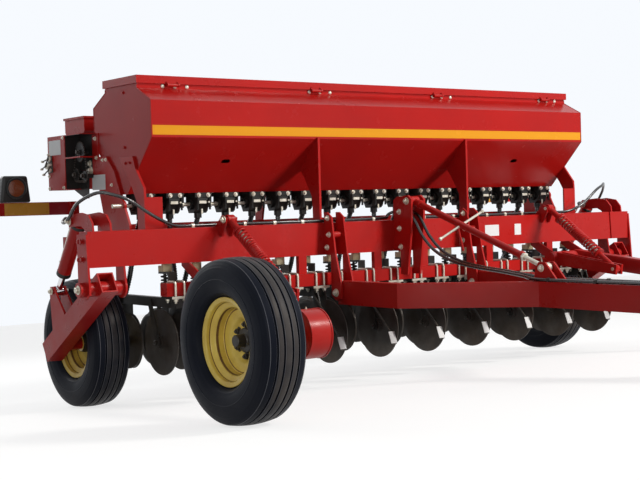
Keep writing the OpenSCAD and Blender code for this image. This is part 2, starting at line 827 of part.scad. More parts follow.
module hitch_legs() {
  color(red) stand() both() difference() {
    union() {
      translate([0, 0, hitch_z]) linear_extrude(hitch_h) polygon([
        [-leg_x - leg_w / 2, hinge_y], [-leg_x - leg_w / 2, corner_y], [-tongue_half, join_y],
        [-tongue_half, join_y + 114], [-leg_x + leg_w / 2, corner_y + 29], [-leg_x + leg_w / 2, hinge_y]
      ]);
      rod_x(-leg_x - leg_w / 2, -leg_x + leg_w / 2, hinge_y, hinge_z, leg_end_r);
    }
    rod_x(-leg_x - leg_w, -leg_x + leg_w, hinge_y, hinge_z, 16 + fit);
  }
}

module tongue() {
  color(red) stand() {
    block(-tongue_half, tongue_half, tongue_y, join_y + 114, hitch_z, hitch_top);
    // Clevis at the tip
    difference() {
      union() {
        for (z = [ear_z, ear_z + ear_t + ear_gap]) {
          translate([0, hitch_pin_y, z]) cylinder(r = ear_r, h = ear_t, $fn = 64);
          block(-ear_r, ear_r, hitch_pin_y, tongue_y, z, z + ear_t);
        }
      }
      translate([0, hitch_pin_y, ear_z - 1]) cylinder(r = hitch_r, h = 2 * ear_t + ear_gap + 2, $fn = 64);
    }
    // Ears and pin of the turnbuckle
    both() plate_x(-42, 12) polygon([
      [screw_y - 130, hitch_top], [screw_y - 30, screw_z + 34], [screw_y + 20, screw_z + 36],
      [screw_y + 44, screw_z], [screw_y + 60, hitch_top]
    ]);
    rod_x(-31, 31, screw_y, screw_z, 14);
  }
}

// Turnbuckle between mast and tongue
mast_pin = [mast_y, mast_z];
screw_pin = [screw_y, screw_z];
buckle_dir = (screw_pin - mast_pin) / norm(screw_pin - mast_pin);
buckle_len = norm(screw_pin - mast_pin);
buckle_r = 21.5;
screw_r = 14;
screw_slack = 3;
module turnbuckle_tube() {
  color(red) stand() {
    difference() {
      union() {
        rod_yz(0, mast_pin + buckle_dir * 20, mast_pin + buckle_dir * (buckle_len - 210), buckle_r);
        rod_x(-30, 30, mast_y, mast_z, 30);
      }
      rod_x(-40, 40, mast_y, mast_z, 16 + fit);
      rod_yz(0, mast_pin + buckle_dir * (buckle_len - 520), mast_pin + buckle_dir * (buckle_len - 200), screw_r + fit);
    }
    // Turning bar
    translate([0, mast_y, mast_z]) rotate([atan2(buckle_dir[1], buckle_dir[0]), 0, 0]) translate([0, 430, 0])
      rotate([0, 90 - 60, 0]) translate([0, 0, buckle_r - 2]) cylinder(r = 9, h = 200, $fn = 48);
  }
}

module turnbuckle_screw() {
  color(zinc) stand() difference() {
    union() {
      rod_yz(0, mast_pin + buckle_dir * (buckle_len - 420), mast_pin + buckle_dir * (buckle_len - 20), screw_r);
      rod_x(-22, 22, screw_y, screw_z, 30);
    }
    rod_x(-40, 40, screw_y, screw_z, 14 + screw_slack);
  }
}

/* Parking jack on the left of the tongue */
jack_x = tongue_half + 52;
jack_y = -2350;
jack_r = 32;
jack_leg_r = 24;
foot_t = 12;
jack_low = 330;
// The jack stands plumb although the tongue leans
module plumb() {
  translate([0, jack_y, hitch_z]) rotate([-pitch, 0, 0]) translate([0, -jack_y, -hitch_z]) children();
}
// Height of the ground under the jack, in the plumb frame
jack_ground = hitch_z - (stand_z + jack_y * sin(pitch) + hitch_z * cos(pitch));
module jack_tube() {
  z0 = jack_ground + jack_low;
  color(dark) stand() {
    difference() {
      union() {
        plumb() translate([jack_x, jack_y, z0]) cylinder(r = jack_r, h = 540, $fn = 64);
        block(tongue_half, jack_x, jack_y - 60, jack_y + 60, hitch_z + 30, hitch_z + 100);
      }
      plumb() translate([jack_x, jack_y, z0 - 1]) cylinder(r = jack_leg_r + fit, h = 520, $fn = 64);
    }
    // Crank
    plumb() rod_x(jack_x - 60, jack_x - jack_r + 2, jack_y, z0 + 515, 8);
    plumb() translate([jack_x - 60, jack_y, z0 + 515]) rotate([60, 0, 0]) cylinder(r = 7, h = 130, $fn = 48);
  }
}

module jack_leg() {
  color(steel) stand() plumb() translate([jack_x, jack_y, jack_ground]) {
    cylinder(r = 90, h = foot_t, $fn = 64);
    translate([0, 0, foot_t - 1]) cylinder(r = jack_leg_r, h = 480, $fn = 64);
  }
}

/* Rear lift arms, cylinders and spindles */
arm_foot = [rear_y, axle_h(rear_y)];
arm_dir = (arm_foot - rock_pin) / norm(arm_foot - rock_pin);
arm_front = rock_pin - arm_dir * 75;
arm_rear = arm_foot + arm_dir * 95;
arm_up = [-arm_dir[1], arm_dir[0]];
arm_wall = 8;
low_pin = [cyl_low_y, cyl_low_z];
arm_inner_x = arm_x0;
module lift_arm(left) {
  color(red) stand() side(left) {
    difference() {
      union() {
        plate_x(-arm_x0 - arm_w, arm_w) polygon(link_points(arm_front, arm_rear, arm_h / 2, arm_h / 2));
      }
      // Open front end
      plate_x(-arm_x0 - arm_w + arm_wall, arm_w - 2 * arm_wall)
        polygon(link_points(arm_front - arm_dir * 2, arm_rear - arm_dir * 20, arm_h / 2 - arm_wall, arm_h / 2 - arm_wall));
    }
    // Rockshaft and spindle
    rod_x(-max(outer_plate_x + plate_t, arm_x0 + arm_w) - 33, -inner_hang_x + 6, rock_y, rock_z, rock_r);
    rod_x(-arm_x0 - 4, -rear_x - hub_out - 1, rear_y, arm_foot[1], spindle_r + 13);
    rod_x(-rear_x - hub_out - 2, -rear_x + 55, rear_y, arm_foot[1], spindle_r);
    // Ears and pin of the lift cylinder
    for (s = [-1, 1]) plate_x(-cyl_x + s * 34 - 6, 12) polygon([
      rock_pin + arm_dir * 430 + arm_up * 40, rock_pin + arm_dir * 650 + arm_up * 40,
      low_pin + [36, -10], low_pin + [26, 26], low_pin + [-20, 30], low_pin + [-36, 0]
    ]);
    rod_x(-cyl_x - 30, -cyl_x + 30, cyl_low_y, cyl_low_z, 14);
  }
}
module lift_arm_right() { lift_arm(false); }
module lift_arm_left() { lift_arm(true); }

top_pin = [cyl_top_y, cyl_top_z];
cyl_dir = (low_pin - top_pin) / norm(low_pin - top_pin);
cyl_len = norm(low_pin - top_pin);
rod_slack = 4.5;
module lift_barrel(left) {
  color(red) stand() side(left) difference() {
    union() {
      rod_yz(-cyl_x, top_pin + cyl_dir * 24, top_pin + cyl_dir * 400, barrel_r);
      rod_x(-cyl_x - 24, -cyl_x + 24, cyl_top_y, cyl_top_z, 30);
    }
    rod_x(-cyl_x - 40, -cyl_x + 40, cyl_top_y, cyl_top_z, 16 + fit);
    rod_yz(-cyl_x, top_pin + cyl_dir * 46, top_pin + cyl_dir * 410, rod_r + fit);
  }
}
module lift_barrel_right() { lift_barrel(false); }
module lift_barrel_left() { lift_barrel(true); }

module lift_rod(left) {
  color(steel) stand() side(left) difference() {
    union() {
      rod_yz(-cyl_x, top_pin + cyl_dir * 160, top_pin + cyl_dir * (cyl_len - 16), rod_r);
      rod_x(-cyl_x - 22, -cyl_x + 22, cyl_low_y, cyl_low_z, 31);
    }
    rod_x(-cyl_x - 40, -cyl_x + 40, cyl_low_y, cyl_low_z, 14 + rod_slack);
  }
}
module lift_rod_right() { lift_rod(false); }
module lift_rod_left() { lift_rod(true); }

/* Hydraulic hoses, clipped to what they run along */
hose_r = 10;
hose_right = [
  [-2262, 214, 1046], [-2240, 150, 1120], [-2160, 70, 1172], [-2080, 20, 1158], [-1990, 0, 1124], [-1890, -6, 1060],
  [-1800, -6, 1010], [-1690, 20, 972], [-1560, 34, 968], [-1375, 36, 968], [-1200, 20, 968], [-1000, -10, 968],
  [-800, -28, 968], [-640, -30, 968], [-480, -30, 968], [-200, -20, 970], [-90, -8, 975]
];
hose_tongue = [
  [-30, -232, 930], [-30, -290, 850], [-30, -400, 760], [-30, -560, 695], [-30, -760, 660], [-30, -1000, 637],
  [-30, -1160, 618], [-52, -1260, 604], [-56, -1380, 601], [-56, -1600, 601], [-50, -2000, 601], [-50, -2400, 601],
  [-46, -2700, 601]
];
function spline(a, b, c, d, t) =
  0.5 * (2 * b + (c - a) * t + (2 * a - 5 * b + 4 * c - d) * t * t + (3 * b - a - 3 * c + d) * t * t * t);
function smooth_path(p, n) = concat(
  [for (i = [0:len(p) - 2]) for (k = [0:n - 1])
    spline(p[max(i - 1, 0)], p[i], p[i + 1], p[min(i + 2, len(p) - 1)], k / n)],
  [p[len(p) - 1]]
);
function unit(v) = v / norm(v);

// Round tube swept along a path; ref is any direction that the path never takes
module sweep(path, r, sides, ref) {
  last = len(path) - 1;
  rings = [for (i = [0:last])
    let (t = unit(path[min(i + 1, last)] - path[max(i - 1, 0)]), u = unit(cross(t, ref)), v = cross(t, u))
    for (k = [0:sides - 1]) path[i] + r * (cos(360 * k / sides) * u + sin(360 * k / sides) * v)];
  faces = concat(
    [[for (k = [0:sides - 1]) k]],
    [[for (k = [sides - 1:-1:0]) last * sides + k]],
    [for (i = [0:last - 1]) for (k = [0:sides - 1])
      [i * sides + k, (i + 1) * sides + k, (i + 1) * sides + (k + 1) % sides, i * sides + (k + 1) % sides]]
  );
  polyhedron(points = rings, faces = faces, convexity = 8);
}

module frame_hoses() {
  color(dark) stand() both() sweep(smooth_path(hose_right, 3), hose_r, 8, [0, 0.3, 1]);
}

module hitch_hoses() {
  color(dark) stand() both() sweep(smooth_path(hose_tongue, 3), hose_r, 8, [1, 0, 0]);
}

/* Wheels: radius and offset from the wheel's middle, outboard positive */
seat_r = 190.5;
flange_r = 208;
rim_half = 80;
module wheel_profile_rim() {
  polygon([
    [flange_r, -rim_half], [flange_r, 8 - rim_half], [seat_r, 9 - rim_half], [seat_r, -46], [162, -36], [162, 36],
    [seat_r, 46], [seat_r, rim_half - 9], [flange_r, rim_half - 8], [flange_r, rim_half], [flange_r - 7, rim_half],
    [seat_r - 7, rim_half - 4], [seat_r - 7, 48], [156, 38], [156, -38], [seat_r - 7, -48],
    [seat_r - 7, 4 - rim_half], [flange_r - 7, -rim_half]
  ]);
}

// Dished disc, its hub flange and the hub
module wheel_profile_disc() {
  polygon([
    [spindle_r + fit, -hub_in], [46, -hub_in], [56, -52], [96, -44], [112, -24], [157, -18], [157, -8], [106, -14],
    [90, -34], [58, -36], [58, 10], [50, hub_out], [spindle_r + fit, hub_out]
  ]);
}

// cap: 1 closes the outboard end of the hub, -1 the inboard end
module rim(x, y, left, cap) {
  color(mustard) stand() side(left) translate([-x, y, axle_h(y)]) rotate([0, -90, 0]) {
    rotate_extrude($fn = 128) {
      wheel_profile_rim();
      wheel_profile_disc();
    }
    if (cap > 0) translate([0, 0, hub_out]) cylinder(r = 44, h = 14, $fn = 64);
    else translate([0, 0, -hub_in - 14]) cylinder(r = 44, h = 14, $fn = 64);
  }
}
module rim_front_right() { rim(front_x, front_y, false, 1); }
module rim_front_left() { rim(front_x, front_y, true, 1); }
module rim_rear_right() { rim(rear_x, rear_y, false, -1); }
module rim_rear_left() { rim(rear_x, rear_y, true, -1); }

// Ribbed implement tyre
tread_half = 0.387 * tyre_w;
rib_depth = 13;
function crown(a) = tyre_r - 9 * pow(a / tread_half, 2);
groove_list = [0.24, 0.62];
groove_w = 0.1;
tyre_side = [
  [seat_r + gap, 0], [seat_r + gap, rim_half - 10], [flange_r + 3, rim_half - 9], [flange_r + 14, 0.42 * tyre_w],
  [flange_r + 40, 0.47 * tyre_w], [flange_r + 85, 0.5 * tyre_w], [tyre_r - 62, 0.49 * tyre_w],
  [tyre_r - 38, 0.465 * tyre_w], [tyre_r - 21, 0.43 * tyre_w], [crown(tread_half), tread_half]
];
function groove(m) = [
  [crown((m + groove_w) * tread_half), (m + groove_w) * tread_half],
  [crown(m * tread_half) - rib_depth, (m + groove_w * 0.7) * tread_half],
  [crown(m * tread_half) - rib_depth, (m - groove_w * 0.7) * tread_half],
  [crown((m - groove_w) * tread_half), (m - groove_w) * tread_half]
];
tyre_tread = concat(groove(groove_list[1]), groove(groove_list[0]), [[crown(0), 0]]);
tyre_half_section = concat(tyre_side, tyre_tread);
function flip(points) = [for (i = [len(points) - 1:-1:0]) [points[i][0], -points[i][1]]];

module tyre(x, y, left) {
  color(black_rubber) stand() side(left) translate([-x, y, axle_h(y)]) rotate([0, -90, 0])
    rotate_extrude($fn = 128) union() {
      polygon(tyre_half_section);
      polygon(flip(tyre_half_section));
    }
}
module tyre_front_right() { tyre(front_x, front_y, false); }
module tyre_front_left() { tyre(front_x, front_y, true); }
module tyre_rear_right() { tyre(rear_x, rear_y, false); }
module tyre_rear_left() { tyre(rear_x, rear_y, true); }

main_tube();
tube_plates();
toolbar();
side_members();
rear_tube();
box_beam();
box_saddles();
end_legs();
hopper();
hopper_ends();
lid_hinges();
lid();
feed_cups();
feed_shaft();
seed_tubes();
small_box();
small_box_lid();
drive_case();
drive_sprockets();
walkboard();
light_bars();
lamps();
opener_clamps();
opener_beams();
opener_springs();
disc_blades();
coulters_front();
coulters_rear();
press_wheels_front();
press_wheels_rear();
front_arms();
front_struts();
hitch_brackets();
hitch_legs();
tongue();
jack_tube();
jack_leg();
turnbuckle_tube();
turnbuckle_screw();
lift_arm_right();
lift_arm_left();
lift_barrel_right();
lift_barrel_left();
lift_rod_right();
lift_rod_left();
frame_hoses();
hitch_hoses();
rim_front_right();
rim_front_left();
rim_rear_right();
rim_rear_left();
tyre_front_right();
tyre_front_left();
tyre_rear_right();
tyre_rear_left();
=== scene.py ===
"""Looks of a pull-type seed drill: paint, rubber, steel, fasteners, springs, hoses and the studio.

Shapes are written in the drill's own frame in millimetres, with Y = 0 at the front face of the grain box and the
main tube level. Stance leans them to where the drill stands on its wheels.
"""

from __future__ import annotations

import logging
import math
from dataclasses import dataclass, field
from enum import Enum
from typing import Callable, Iterable, Sequence

import bmesh
import bpy
from mathutils import Matrix, Vector

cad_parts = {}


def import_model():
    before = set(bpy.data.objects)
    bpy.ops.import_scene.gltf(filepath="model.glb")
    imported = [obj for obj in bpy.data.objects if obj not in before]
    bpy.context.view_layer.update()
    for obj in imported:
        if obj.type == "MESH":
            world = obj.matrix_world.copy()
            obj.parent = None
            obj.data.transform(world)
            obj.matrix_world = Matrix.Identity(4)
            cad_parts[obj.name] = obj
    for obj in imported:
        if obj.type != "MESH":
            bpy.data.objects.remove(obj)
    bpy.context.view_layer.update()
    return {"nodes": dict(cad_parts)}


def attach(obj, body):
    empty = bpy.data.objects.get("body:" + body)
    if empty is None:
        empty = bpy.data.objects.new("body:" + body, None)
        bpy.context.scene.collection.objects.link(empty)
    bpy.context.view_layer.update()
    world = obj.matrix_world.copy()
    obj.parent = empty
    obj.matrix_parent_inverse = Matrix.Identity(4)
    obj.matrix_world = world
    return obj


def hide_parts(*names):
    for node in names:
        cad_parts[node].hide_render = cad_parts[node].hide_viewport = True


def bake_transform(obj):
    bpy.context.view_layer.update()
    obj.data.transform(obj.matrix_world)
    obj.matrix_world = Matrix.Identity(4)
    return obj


LOG = logging.getLogger("seed_drill")
Point = tuple[float, float, float]
Flat = tuple[float, float]
Material = bpy.types.Material
Node = bpy.types.Node
Socket = bpy.types.NodeSocket
Test = Callable[[Vector], bool]
TURN = 2 * math.pi
PHOTO_WIDTH_PX = 640
SENSOR_WIDTH = 36
FRONT_AXLE, REAR_AXLE = (-1545, 452.0), (591, 272.6)
FORE, AFT, UP, DOWN, OUT, IN = (0, -1, 0), (0, 1, 0), (0, 0, 1), (0, 0, -1), (-1, 0, 0), (1, 0, 0)


class Side(Enum):
    """Which side of the drill a piece is on; the right is at negative X."""

    RIGHT = 1
    LEFT = -1


class Rank(Enum):
    """Rank of an opener row."""

    FRONT = 0
    REAR = 1


class Copies(Enum):
    """Where the shapes of a piece go: as drawn, to the other side, or both."""

    DRAWN = 0
    MIRRORED = 1
    BOTH = 2


@dataclass(frozen=True)
class Stance:
    """How the drill's own frame stands on the ground."""

    pitch: float = 4.8
    lift: float = 67.4
    middle: float = -803.0725

    def matrix(self) -> Matrix:
        """Returns the move from the drill's frame in millimetres to the world in millimetres."""
        return Matrix.Translation((0, -self.middle, self.lift)) @ Matrix.Rotation(math.radians(self.pitch), 4, "X")

    def point(self, x: float, y: float, z: float) -> Vector:
        """Returns a point of the drill's frame as a world point in metres."""
        return (self.matrix() @ Vector((x, y, z))) / 1000


STANCE = Stance()


# Shapes


@dataclass
class Shape:
    """Points in millimetres and the faces between them."""

    points: list[Vector] = field(default_factory=list)
    faces: list[tuple[int, ...]] = field(default_factory=list)

    def moved(self, matrix: Matrix) -> "Shape":
        """Carries the shape by a matrix.

        Args:
            matrix: the move.

        Returns:
            A moved copy with its faces still outward.
        """
        flip = matrix.to_3x3().determinant() < 0
        faces = [tuple(reversed(f)) for f in self.faces] if flip else list(self.faces)
        return Shape([matrix @ p for p in self.points], faces)

    def join(self, other: "Shape") -> "Shape":
        """Takes in another shape.

        Args:
            other: the shape whose points and faces are added.

        Returns:
            This shape.
        """
        base = len(self.points)
        self.points.extend(other.points)
        self.faces.extend(tuple(i + base for i in f) for f in other.faces)
        return self


def softened(shape: Shape, width: float, steps: int = 1, angle: float = 30) -> Shape:
    """Rounds the sharp edges of a closed shape.

    Args:
        shape: the shape to round.
        width: how far the rounding reaches from each edge.
        steps: how many faces each rounded edge gets.
        angle: edges sharper than this many degrees are rounded.

    Returns:
        The rounded shape.
    """
    if width <= 0:
        return shape
    bm = bmesh.new()
    verts = [bm.verts.new(p) for p in shape.points]
    for f in shape.faces:
        bm.faces.new([verts[i] for i in f])
    bm.normal_update()
    edges = [e for e in bm.edges if len(e.link_faces) == 2 and e.calc_face_angle(0) > math.radians(angle)]
    bmesh.ops.bevel(bm, geom=edges, offset=width, segments=steps, profile=0.6, affect="EDGES", clamp_overlap=True)
    bm.verts.index_update()
    out = Shape([v.co.copy() for v in bm.verts], [tuple(v.index for v in f.verts) for f in bm.faces])
    bm.free()
    return out


def cuboid(corners: Sequence[Vector]) -> Shape:
    """Returns the closed shape of eight corners, where Z changes first, then Y, then X."""
    return Shape(list(corners), [(0, 1, 3, 2), (4, 6, 7, 5), (0, 4, 5, 1), (2, 3, 7, 6), (0, 2, 6, 4), (1, 5, 7, 3)])


def block(x0: float, x1: float, y0: float, y1: float, z0: float, z1: float, soft: float = 1.5) -> Shape:
    """Builds a block between two corners.

    Args:
        x0: its lower side along X.
        x1: its upper side along X.
        y0: its front.
        y1: its back.
        z0: its bottom.
        z1: its top.
        soft: rounding of its edges.

    Returns:
        The closed block.
    """
    corners = [Vector((x, y, z)) for x in (x0, x1) for y in (y0, y1) for z in (z0, z1)]
    return softened(cuboid(corners), soft, 2 if soft > 3 else 1)


def plate(outline: Sequence[Flat], x: float, thick: float, soft: float = 1.2) -> Shape:
    """Returns a plate in the Y-Z plane.

    Args:
        outline: its corners as (y, z).
        x: its lower face.
        thick: its thickness along X.
        soft: rounding of its edges.

    Returns:
        The closed plate.
    """
    area = sum(a[0] * b[1] - b[0] * a[1] for a, b in zip(outline, list(outline[1:]) + [outline[0]]))
    flat = list(outline) if area > 0 else list(reversed(outline))
    n = len(flat)
    points = [Vector((side, y, z)) for side in (x, x + thick) for y, z in flat]
    faces: list[tuple[int, ...]] = [tuple(reversed(range(n))), tuple(range(n, 2 * n))]
    faces += [(i, (i + 1) % n, n + (i + 1) % n, n + i) for i in range(n)]
    return softened(Shape(points, faces), soft)


def aim(origin: Sequence[float], axis: Sequence[float], spin: float = 0.0) -> Matrix:
    """Returns the move that puts the local +Z along an axis at a point, turned by spin degrees about it."""
    turn = Vector(axis).to_track_quat("Z", "Y").to_matrix().to_4x4()
    return Matrix.Translation(Vector(origin)) @ turn @ Matrix.Rotation(math.radians(spin), 4, "Z")


def lathe(profile: Sequence[Flat], sides: int = 24, closed: bool = False) -> Shape:
    """Turns a profile about the local Z axis.

    Args:
        profile: (radius, height) pairs; a radius of 0 at either end closes the shape there.
        sides: faces around.
        closed: joins the last pair to the first, for a ring.

    Returns:
        The turned shape.
    """
    shape = Shape()
    rings: list[list[int]] = []
    for r, h in profile:
        base, count = len(shape.points), sides if r > 1e-6 else 1
        for k in range(count):
            a = TURN * k / sides
            shape.points.append(Vector((r * math.cos(a), r * math.sin(a), h)))
        rings.append([base + k % count for k in range(sides)])
    for low, high in list(zip(rings, rings[1:])) + ([(rings[-1], rings[0])] if closed else []):
        for k in range(sides):
            j = (k + 1) % sides
            loop = [low[k], low[j], high[j], high[k]]
            loop = [v for i, v in enumerate(loop) if v != loop[i - 1]]
            if len(loop) > 2:
                shape.faces.append(tuple(loop))
    return shape


def rod(a: Sequence[float], b: Sequence[float], r: float, sides: int = 24) -> Shape:
    """Builds a round bar with slightly rounded ends.

    Args:
        a: the middle of one end.
        b: the middle of the other end.
        r: its radius.
        sides: faces around.

    Returns:
        The closed bar.
    """
    start, end = Vector(a), Vector(b)
    length = (end - start).length
    s = min(1.0, r * 0.4, length * 0.3)
    profile = [(0, 0), (r - s, 0), (r, s), (r, length - s), (r - s, length), (0, length)]
    return lathe(profile, sides).moved(aim(start, end - start))


def curved(knots: Iterable[Sequence[float]], steps: int = 6) -> list[Vector]:
    """Leads a smooth path through knots.

    Args:
        knots: the points that it passes.
        steps: points for each stretch between two knots.

    Returns:
        The points of the path.
    """
    p = [Vector(k) for k in knots]
    out: list[Vector] = []
    for i in range(len(p) - 1):
        a, b, c, d = p[max(i - 1, 0)], p[i], p[i + 1], p[min(i + 2, len(p) - 1)]
        for k in range(steps):
            t = k / steps
            out.append(0.5 * (2 * b + (c - a) * t + (2 * a - 5 * b + 4 * c - d) * t * t
                              + (3 * b - a - 3 * c + d) * t ** 3))
    out.append(p[-1])
    return out


def swept(path: Sequence[Vector], r: float | Callable[[int], float], sides: int = 10) -> Shape:
    """Sweeps a circle along a path without twisting it.

    Args:
        path: the middle line.
        r: radius, or a function that gives it at each point's number.
        sides: faces around.

    Returns:
        The closed tube.
    """
    shape = Shape()
    normal: Vector | None = None
    last = len(path) - 1
    for i, p in enumerate(path):
        tangent = (path[min(i + 1, last)] - path[max(i - 1, 0)]).normalized()
        if normal is None:
            normal = tangent.orthogonal().normalized()
        normal = (normal - tangent * normal.dot(tangent)).normalized()
        side = tangent.cross(normal)
        size = r(i) if callable(r) else r
        for k in range(sides):
            a = TURN * k / sides
            shape.points.append(p + (normal * math.cos(a) + side * math.sin(a)) * size)
    for i in range(last):
        for k in range(sides):
            j = (k + 1) % sides
            shape.faces.append((i * sides + k, i * sides + j, (i + 1) * sides + j, (i + 1) * sides + k))
    shape.faces.append(tuple(reversed(range(sides))))
    shape.faces.append(tuple(range(last * sides, (last + 1) * sides)))
    return shape


def coil(a: Sequence[float], b: Sequence[float], radius: float, wire: float, turns: float, sides: int = 8) -> Shape:
    """Builds a coil spring with its end turns closed up.

    Args:
        a: the middle of one end.
        b: the middle of the other end.
        radius: from the spring's axis to the middle of the wire.
        wire: radius of the wire.
        turns: how many times the wire goes round.
        sides: faces around the wire.

    Returns:
        The closed spring.
    """
    start, end = Vector(a), Vector(b)
    length = (end - start).length
    steps = int(turns * 18)
    path = []
    for i in range(steps + 1):
        t = i / steps
        ease = t + 0.055 * math.sin(TURN * t) * (1 if 0 < t < 1 else 0)
        squeeze = min(1.0, max(0.0, (ease - 0.02) / 0.96))
        angle = TURN * turns * t
        path.append(Vector((radius * math.cos(angle), radius * math.sin(angle), wire + (length - 2 * wire) * squeeze)))
    return swept(path, wire, sides).moved(aim(start, end - start))


def hex_head(across: float, washer: bool = True, stud: float = 0.0) -> Shape:
    """Returns a hex head that stands on the local XY plane.

    Args:
        across: size across the flats.
        washer: whether it has one.
        stud: how far a threaded end stands out of it, as on a nut.

    Returns:
        The fastener, its middle at the origin.
    """
    shape = Shape()
    base = 3.0 if washer else 0.0
    if washer:
        w = across * 0.86
        shape.join(lathe([(0, -0.4), (w, -0.4), (w, 2.2), (w - 0.8, 3.0), (0, 3.0)], 20))
    r = across / math.sqrt(3)
    top = base + across * 0.58
    shape.join(lathe([(0, base), (r * 0.97, base), (r, base + 1), (r, top - across * 0.07), (r * 0.84, top),
                      (0, top)], 6))
    if stud > 0:
        q = across * 0.3
        shape.join(lathe([(0, base), (q, base), (q, top + stud - 2), (q - 1.6, top + stud), (0, top + stud)], 12))
    return shape


def mirrored(shape: Shape) -> Shape:
    """Returns the shape on the other side of the drill."""
    return shape.moved(Matrix.Scale(-1, 4, (1, 0, 0)))


class Piece:
    """One scene object, gathered from shapes in the drill's own frame."""

    def __init__(self, name: str, body: str, finish: Material, slot: str, copies: Copies) -> None:
        """Starts an empty piece.

        Args:
            name: its name.
            body: the body that it rides on.
            finish: the material that it wears.
            slot: the record's material slot that it takes its finish from.
            copies: where its shapes go.
        """
        self.name, self.body, self.finish, self.slot, self.copies = name, body, finish, slot, copies
        self.shape = Shape()
        self.second: list[tuple[Material, Test]] = []
        self.bridge: tuple[str, Vector, Vector] | None = None

    def reach(self, body: str, start: Point, end: Point) -> "Piece":
        """Notes that the piece runs from its own body at start to another body at end; it is then built unattached to
        any body.
        """
        self.bridge = (body, STANCE.point(*start), STANCE.point(*end))
        return self

    def paint(self, finish: Material, test: Test) -> "Piece":
        """Gives the faces whose middle passes a test, in the drill's own frame, another finish."""
        self.second.append((finish, test))
        return self

    def add(self, shape: Shape, matrix: Matrix | None = None) -> "Piece":
        """Adds a shape wherever the piece's copies go.

        Args:
            shape: the shape as drawn.
            matrix: a move that carries it.

        Returns:
            This piece.
        """
        placed = shape.moved(matrix) if matrix is not None else shape
        if self.copies is not Copies.MIRRORED:
            self.shape.join(placed)
        if self.copies is not Copies.DRAWN:
            self.shape.join(mirrored(placed))
        return self

    def block(self, *sizes: float) -> None:
        """Adds a block."""
        self.add(block(*sizes))

    def rod(self, a: Sequence[float], b: Sequence[float], r: float, sides: int = 24) -> None:
        """Adds a round bar."""
        self.add(rod(a, b, r, sides))

    def turned(self, profile: Sequence[Flat], spot: Sequence[float], axis: Sequence[float], sides: int = 24,
               closed: bool = False) -> None:
        """Adds a turned shape that stands on a spot along an axis."""
        self.add(lathe(profile, sides, closed), aim(spot, axis))

    def bolt(self, across: float, spot: Sequence[float], axis: Sequence[float], spin: float = 0.0,
             washer: bool = True, stud: float = 0.0) -> None:
        """Adds a hex head that stands on a spot along an axis, turned by spin degrees."""
        self.add(hex_head(across, washer, stud), aim(spot, axis, spin))

    def build(self, replaces: Iterable[str] = (), slot: str = "", sharp: float = 32) -> bpy.types.Object:
        """Makes the object, seats it on its body unless it runs between two bodies, and reports it.

        Args:
            replaces: CAD nodes that it stands for.
            slot: the record's material slot, where it isn't the finish's own; it is not used.
            sharp: edges sharper than this many degrees stay crisp.

        Returns:
            The object.
        """
        move = STANCE.matrix()
        mesh = bpy.data.meshes.new(self.name)
        mesh.from_pydata([(move @ p) / 1000 for p in self.shape.points], [], self.shape.faces)
        mesh.materials.append(self.finish)
        for number, (finish, test) in enumerate(self.second, 1):
            mesh.materials.append(finish)
            for face, corners in zip(mesh.polygons, self.shape.faces):
                if test(sum((self.shape.points[i] for i in corners), Vector()) / len(corners)):
                    face.material_index = number
        mesh.validate()
        mesh.polygons.foreach_set("use_smooth", [True] * len(mesh.polygons))
        mesh.set_sharp_from_angle(angle=math.radians(sharp))
        obj = bpy.data.objects.new(self.name, mesh)
        bpy.context.scene.collection.objects.link(obj)
        if not self.bridge:
            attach(obj, self.body)
        else:
            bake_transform(obj)
        nodes = list(replaces)
        if nodes:
            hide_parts(*nodes)
        LOG.info("%s: %d faces on %s", self.name, len(mesh.polygons), self.body)
        return obj


# Finishes


class Tree:
    """Short hand for laying out a node tree."""

    def __init__(self, tree: bpy.types.NodeTree) -> None:
        """Wraps a tree."""
        self.tree = tree

    def feed(self, target: Socket, value: object) -> None:
        """Links an input or sets its value.

        Args:
            target: the input.
            value: a socket to link, or a plain value, where a colour gets its alpha.
        """
        if isinstance(value, Socket):
            self.tree.links.new(value, target)
        else:
            target.default_value = (*value, 1.0) if target.type == "RGBA" else value

    def add(self, kind: str, *values: object, **inputs: object) -> Node:
        """Adds a node.

        Args:
            kind: Blender's node type.
            values: what feeds its first inputs, in order.
            inputs: settings by attribute name, or what feeds an input by socket name with _ for a space.

        Returns:
            The node.
        """
        node = self.tree.nodes.new(kind)
        for key, value in inputs.items():
            if hasattr(node, key):
                setattr(node, key, value)
            else:
                self.feed(node.inputs[key.replace("_", " ")], value)
        for target, value in zip(node.inputs, values):
            self.feed(target, value)
        return node

    def maths(self, operation: str, *values: object, clamp: bool = False) -> Socket:
        """Adds a Math node on values or sockets and returns its output."""
        return self.add("ShaderNodeMath", *values, operation=operation, use_clamp=clamp).outputs[0]

    def mix(self, factor: object, a: object, b: object) -> Socket:
        """Mixes two colours.

        Args:
            factor: share of the second one, as a value or socket.
            a: the first colour or socket.
            b: the second colour or socket.

        Returns:
            The mixed colour.
        """
        node = self.add("ShaderNodeMix", factor, data_type="RGBA")
        self.feed(node.inputs[6], a)
        self.feed(node.inputs[7], b)
        return node.outputs[2]

    def ranged(self, value: Socket, low: float, high: float, to: Flat = (0.0, 1.0)) -> Socket:
        """Maps a value from low..high to another range, clamped."""
        return self.add("ShaderNodeMapRange", value, low, high, *to, clamp=True).outputs[0]

    def noise(self, vector: Socket, scale: object, detail: float = 4, rough: float = 0.55) -> Socket:
        """Adds a noise texture on a vector and returns its value."""
        return self.add("ShaderNodeTexNoise", Vector=vector, Scale=scale, Detail=detail, Roughness=rough).outputs[0]

    def split(self, vector: Socket) -> Sequence[Socket]:
        """Returns the three parts of a vector."""
        return self.add("ShaderNodeSeparateXYZ", vector).outputs

    def object_place(self) -> Socket:
        """Returns the object coordinates."""
        return self.add("ShaderNodeTexCoord").outputs["Object"]


